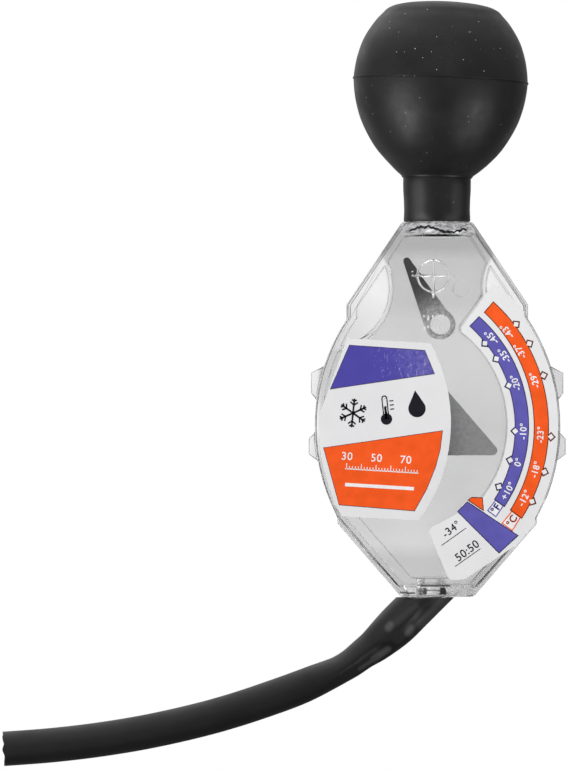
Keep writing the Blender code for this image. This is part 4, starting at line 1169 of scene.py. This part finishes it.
def make_world():
    """A white background, with other brightnesses by direction in what is lit, mirrored or bent."""
    world = bpy.data.worlds.new("studio")
    world.use_nodes = True
    SCENE.world = world
    tree = world.node_tree
    background = tree.nodes["Background"]
    aside, ahead, up = axes_of(tree, "Generated")
    sideways = unsigned(aside)
    through = larger(
        remap(unsigned(ahead), 0.5, 0.88, 0.75, 1.0, smooth=True),
        remap(sideways, 0.86, 0.97, 0.75, 0.95, smooth=True),
    )
    strength = times(remap(ahead, -1, 1, 0.34, 1.0), remap(up, -1, 0.4, 0.45, 0.9))
    sheen = times(
        remap(ahead, -0.9, 0.6, 0.08, 0.72, smooth=True),
        remap(up, -0.6, 0.75, 0.22, 1.1),
        remap(sideways, 0.5, 0.9, 1, 0.2, smooth=True),
        remap(aside, -0.8, 0.1, 2.25, 1.0),
    )
    path = add(tree, "LightPath")
    for ray, value in (("Is Glossy Ray", sheen), ("Is Transmission Ray", through)):
        choice = add(tree, "Mix", data_type="FLOAT")
        wire(path.outputs[ray], choice.inputs[0])
        wire(strength, choice.inputs[2])
        wire(value, choice.inputs[3])
        strength = choice.outputs[0]
    wire(larger(strength, path.outputs["Is Camera Ray"]), background.inputs["Strength"])
    background.inputs["Color"].default_value = (1, 1, 1, 1)


def make_light(name, azimuth, elevation, distance, size, radiance, sheen):
    """A soft light aimed at the body, which gives either the sheens or the matte light."""
    light = bpy.data.lights.new(name, "AREA")
    light.shape = "RECTANGLE"
    light.size, light.size_y = size
    light.energy = radiance * pi * size[0] * size[1]
    item = link(bpy.data.objects.new(name, light))
    turn, rise = radians(azimuth), radians(elevation)
    level = cos(rise)
    away = Vector((sin(turn) * level, -cos(turn) * level, sin(rise)))
    item.location = LIT_PLACE + away * distance
    item.rotation_euler = away.to_track_quat("Z", "Y").to_euler()
    item.visible_glossy = sheen
    item.visible_diffuse = not sheen


def make_floor():
    """A pale disc that fades into the background."""
    bpy.ops.mesh.primitive_circle_add(
        vertices=128, radius=FLOOR_RADIUS, fill_type="NGON", location=FLOOR_PLACE)
    floor = bpy.context.object
    floor.name = "floor"
    material, tree = plain("floor", (0.86, 0.86, 0.86), {"Roughness": 0.9, "Specular IOR Level": 0.1})
    length = add(tree, "VectorMath", operation="LENGTH")
    wire(place_of(tree), length.inputs[0])
    fade = remap(length.outputs["Value"], *FLOOR_FADE, 1, 0, smooth=True)
    wire(fade, shader_of(tree).inputs["Alpha"])
    floor.data.materials.append(material)
    floor.visible_diffuse = False
    floor.visible_glossy = False


def dress(name, material):
    """Give a model node its material."""
    item = NODES[name]
    for holder in item.material_slots:
        holder.link = "OBJECT"
        holder.material = material


# Colours of the printed inks
INKS = {
    "title_orange": (0.95, 0.105, 0.011),
    "scale_blue": (0.12, 0.105, 0.44),
    "scale_orange": (0.95, 0.105, 0.011),
    "line": (0.05, 0.035, 0.055),
    "line_blue": (0.022, 0.02, 0.075),
    "line_orange": (0.13, 0.022, 0.012),
    "white": (0.86, 0.86, 0.865),
    "black": (0.014, 0.013, 0.02),
    "unit_low": (0.03, 0.022, 0.17),
    "unit_high": (0.33, 0.025, 0.012),
}


def main():
    SCENE.view_settings.view_transform = "Standard"
    make_camera()
    make_world()
    for light in LIGHTS:
        make_light(*light)
    make_floor()
    make_hose(vinyl())
    make_bulb(rubber())
    make_shell("clear_front", "front_shell")
    make_shell("clear_back", "back_shell")
    dress("density_pointer", pointer_plastic())
    x, z = spot(*LEVEL_PIVOT)
    hub = NODES["level_arm"].matrix_world.inverted() @ Vector((x, 0, z))
    dress("level_arm", arm_plastic((hub.x, hub.z)))
    dress("balance_weight", metal("weight_brass", (0.62, 0.47, 0.22), 0.34))
    dress("pointer_axle", metal("axle_steel", (0.6, 0.6, 0.61), 0.28))
    dress("title_label", film("title_film", 0.78))
    scale_film = film("scale_film", 0.8)
    dress("scale_label", scale_film)
    worn_blue = scuffed_ink("ink_title_blue", (0.078, 0.066, 0.38), (0.19, 0.175, 0.49))
    inks = {"film": scale_film, "title_blue": worn_blue}
    for name, colour in INKS.items():
        inks[name] = ink("ink_" + name, colour)
    make_scale_print(inks)
    make_panel_print(inks)
    make_title_print(inks)
    make_sight(ink("sight_faint", (0.8, 0.8, 0.8)), ink("sight_white", WHITE))


main()
